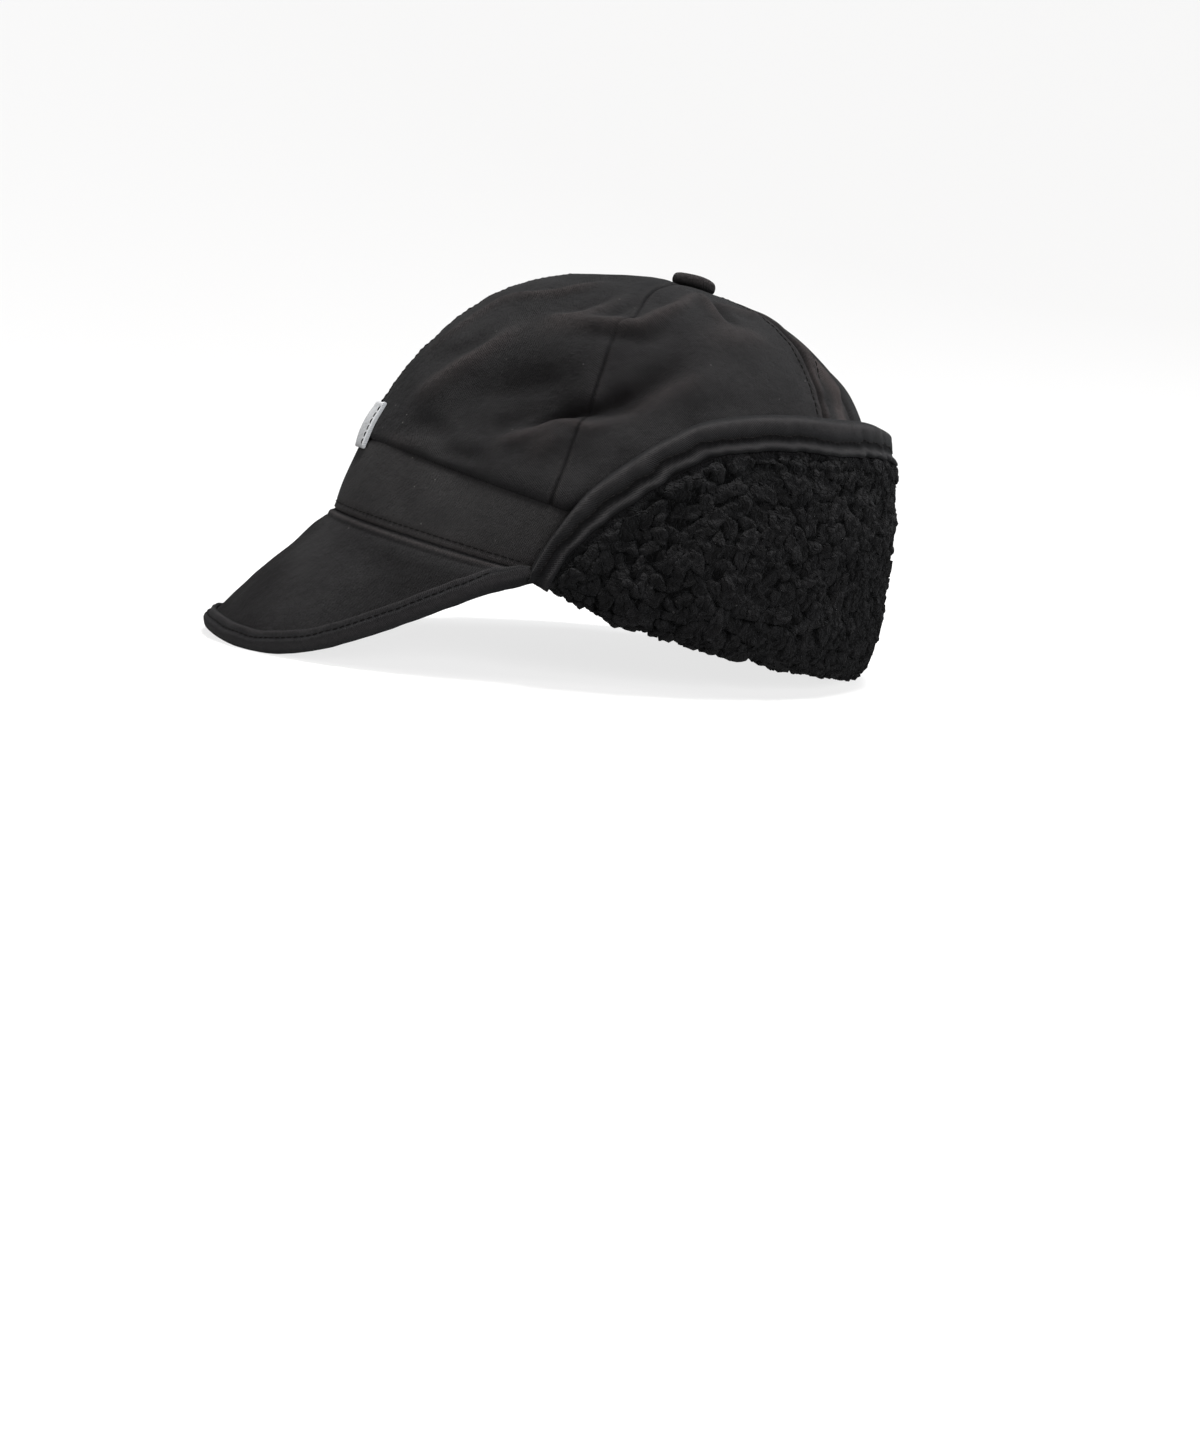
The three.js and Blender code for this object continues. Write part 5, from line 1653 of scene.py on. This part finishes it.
def makeButton():
    section = [(r * button["radius"], h * button["thickness"]) for r, h in buttonSection]
    radius, height = smoothPath(section, button["rows"]).T[:, None, :]
    turn = (np.arange(button["sides"]) / button["sides"] * 2 * math.pi)[:, None]
    share = radius / button["radius"]
    under = 1 - smoothStep(*button["underEdge"], height / button["thickness"])
    gathers = np.sin(turn * button["gathers"]) * smoothStep(0.5, 1, share) * (0.4 + under)
    radius = radius * (1 + button["gatherDepth"] * gathers)
    height = height + button["wave"] * np.sin(turn * 3 + 1) * share * (1 - under)
    x = radius * np.cos(turn)
    y = radius * np.sin(turn) - button["forward"]
    z = height + crown["height"] + button["seat"]
    # Paler round the rim of its top, painted shade on its under side
    marks = {
        "wearAndHighlight": stripe(share, *button["paleRim"]) * (1 - under),
        "paintedShade": under * button["darkUnder"],
    }
    mesh = closedTurn("top_button", np.stack([x, y, z], -1), marks)
    makePiece("covered_top_button", mesh, twill, ["top_button"])


# A round body from a grid of sides by rows whose ends lie on its axis
def closedTurn(name, grid, marks):
    sides, rows = grid.shape[:2]
    world = toWorld(grid).reshape(-1, 3)
    ends = toWorld(np.stack([grid[:, 0].mean(0), grid[:, -1].mean(0)]))
    verts = np.concatenate([world, ends]).tolist()
    faces = []
    for s in range(sides):
        t = (s + 1) % sides
        for r in range(rows - 1):
            faces.append((s * rows + r, t * rows + r, t * rows + r + 1, s * rows + r + 1))
        faces.append((t * rows, s * rows, sides * rows))
        faces.append((s * rows + rows - 1, t * rows + rows - 1, sides * rows + 1))
    mesh = newMesh(name, verts, faces)
    for key, values in marks.items():
        addValues(mesh, key, np.append(np.broadcast_to(values, (sides, rows)), [0, 0]))
    addValues(mesh, "cloth", np.concatenate([grid.reshape(-1, 3), np.zeros((2, 3))]), "FLOAT_VECTOR")
    return mesh


makeButton()

# Blank tab at the centre front

label = {
    "width": 27.0,
    "height": 16.2,
    "wall": 1.0,
    "bulge": 0.7,
    "lap": 4.2,
    "seat": 0.4,
    "columns": 56,
    "rows": 38,
    "wave": 0.12,
    "waveSize": 9,
    "topFold": (0.28, 0.06, 0.97),  # lines along it, as strength, width and place in shares of its size
    "sideFold": (0.16, 0.03, 0.45),
    "paleTop": (0.6, 0.05, 0.98),
    "paleSide": (0.6, 0.03, 0.48),
    # painted shade at its foot
    "darkFoot": (0.5, 0.06),
    "stitchesAt": (0.06, 0.94),
}


def makeLabel():
    across = np.linspace(-0.5, 0.5, label["columns"])[:, None]
    up = np.linspace(0, 1, label["rows"])[None, :]
    turn = across * label["width"] / crown["halfWidth"] / degree
    angle, height = np.broadcast_arrays(turn, bandTop(0) - label["lap"] + label["height"] * up)
    bulge = label["bulge"] * np.sin(math.pi * up) * (1 - 4 * across ** 2)
    place = crownPoint(angle, height)
    normal = crownNormal(angle, height)
    offset = clothRelief(angle, height, fine=False) + label["seat"]
    wave = label["wave"] * unevenness(place, label["waveSize"], 61)
    fold = stripe(up, *label["topFold"]) + stripe(np.abs(across), *label["sideFold"])
    outer = place + normal * (offset + label["wall"] + bulge + wave + fold)[..., None]
    inner = place + normal * offset[..., None]
    # Paler along its top and side folds, painted shade at its foot
    marks = {
        "wearAndHighlight": np.maximum(stripe(up, *label["paleTop"]), stripe(np.abs(across), *label["paleSide"])),
        "paintedShade": stripe(up, *label["darkFoot"]),
    }
    mesh = clothBody("front_label", outer, inner, False, marks)
    makePiece("blank_front_label", mesh, labelCloth, ["front_label"])
    for side in label["stitchesAt"]:
        column = int(side * label["columns"])
        seamLines.append((outer[column, 2:-2], normal[column, 2:-2]))


makeLabel()
stitches = makePiece("seam_stitches", threadMesh("seam_stitches", seamLines), sewing)
print("cap: button, label and stitches made,", len(stitches.data.polygons), "stitch faces")

# Stage, lights and camera

stage = {
    "flatRadius": 1.1,
    "wallRadius": 2.6,
    "wallHeight": 1.0,
    "wallSteps": 16,
    "sides": 96,
    "colour": (0.15, 0.149, 0.148),
    "roughness": 0.9,
    "shine": 0.1,
    "glow": 0.76,
}


# A round floor that curves up into a low wall
def makeStage():
    flat = stage["flatRadius"]
    reach = stage["wallRadius"] - flat
    turns = [k / stage["wallSteps"] * math.pi / 2 for k in range(stage["wallSteps"] + 1)]
    profile = [(flat + reach * math.sin(t), stage["wallHeight"] * (1 - math.cos(t))) for t in turns]
    sides = stage["sides"]
    verts = [(0.0, 0.0, 0.0)]
    for radius, height in profile:
        for s in range(sides):
            turn = s / sides * 2 * math.pi
            verts.append((radius * math.cos(turn), radius * math.sin(turn), height))
    faces = [(0, 1 + s, 1 + (s + 1) % sides) for s in range(sides)]
    for ring in range(len(profile) - 1):
        for s in range(sides):
            a = 1 + ring * sides + s
            b = 1 + ring * sides + (s + 1) % sides
            faces.append((a, a + sides, b + sides, b))
    mesh = newMesh("studioFloor", verts, faces)
    material = bpy.data.materials.new("studioFloor")
    material.use_nodes = True
    shader = material.node_tree.nodes["Principled BSDF"].inputs
    shader["Base Color"].default_value = (*stage["colour"], 1)
    shader["Roughness"].default_value = stage["roughness"]
    shader["Specular IOR Level"].default_value = stage["shine"]
    shader["Emission Color"].default_value = (1, 1, 1, 1)
    shader["Emission Strength"].default_value = stage["glow"]
    mesh.materials.append(material)
    addObject("studioFloor", mesh)


# Soft lights: name, place in metres, size, watts, colour
lightTable = [
    ("topSoftbox", (0.1, 0.15, 1.8), 0.7, 88.0, (1.0, 0.985, 0.97)),
    ("frontSoftbox", (0.35, -1.5, 1.1), 0.6, 16.0, (1.0, 0.98, 0.97)),
    ("windowSide", (1.5, 0.35, 0.62), 0.7, 29.0, (0.99, 0.99, 1.0)),
    ("backFill", (-1.0, 1.0, 1.3), 1.0, 21.0, (0.94, 0.97, 1.0)),
]
air = {
    "colour": (0.97, 0.985, 1.0, 1),
    "strength": 0.16,
    "lightsAim": (0, 0, 0.06),  # where the lights point, in metres
}


def makeLights():
    for name, place, size, watts, colour in lightTable:
        data = bpy.data.lights.new(name, "AREA")
        data.shape = "DISK"
        data.size = size
        data.energy = watts
        data.color = colour
        lamp = addObject(name, data)
        lamp.location = place
        lamp.rotation_euler = (Vector(air["lightsAim"]) - Vector(place)).to_track_quat("-Z", "Y").to_euler()
    world = bpy.data.worlds.new("studioAir")
    world.use_nodes = True
    background = world.node_tree.nodes["Background"].inputs
    background["Color"].default_value = air["colour"]
    background["Strength"].default_value = air["strength"]
    bpy.context.scene.world = world
    bpy.context.scene.view_settings.view_transform = "Standard"


# The photo's view of the cap. It was taken with the rim tilted further, so the camera turns with the cap.
view = {
    "focalPixels": 1550,
    "picturePixels": 1440,     # the picture's longer side
    "sensorWidth": 36,
    "distance": 574.9,         # millimetres from the rim's centre
    "azimuth": 76.6,
    "elevation": 6.3,
    "heading": 166.996,
    "pitch": -11.369,
    "photoTilt": 16.39,
}


def makeCamera():
    a, e = view["azimuth"] * degree, view["elevation"] * degree
    h, p = view["heading"] * degree, view["pitch"] * degree
    place = Vector((math.sin(a) * math.cos(e), -math.cos(a) * math.cos(e), math.sin(e))) * view["distance"]
    forward = Vector((math.cos(p) * math.cos(h), math.cos(p) * math.sin(h), math.sin(p)))
    right = Vector((math.sin(h), -math.cos(h), 0))
    up = right.cross(forward)
    turn = Matrix.Rotation((view["photoTilt"] - stance["tilt"]) * degree, 3, "X")
    axes = Matrix((turn @ right, turn @ up, turn @ -forward)).transposed()
    data = bpy.data.cameras.new("photoCamera")
    data.lens = view["sensorWidth"] * view["focalPixels"] / view["picturePixels"]
    data.clip_start = 0.01
    camera = addObject("photoCamera", data)
    rimCentre = Vector((0, stance["rimBack"], stance["rimRise"]))
    camera.matrix_world = Matrix.Translation((turn @ place + rimCentre) * 0.001) @ axes.to_4x4()
    bpy.context.scene.camera = camera


makeStage()
makeLights()
makeCamera()
print("cap: stage, lights and camera made")
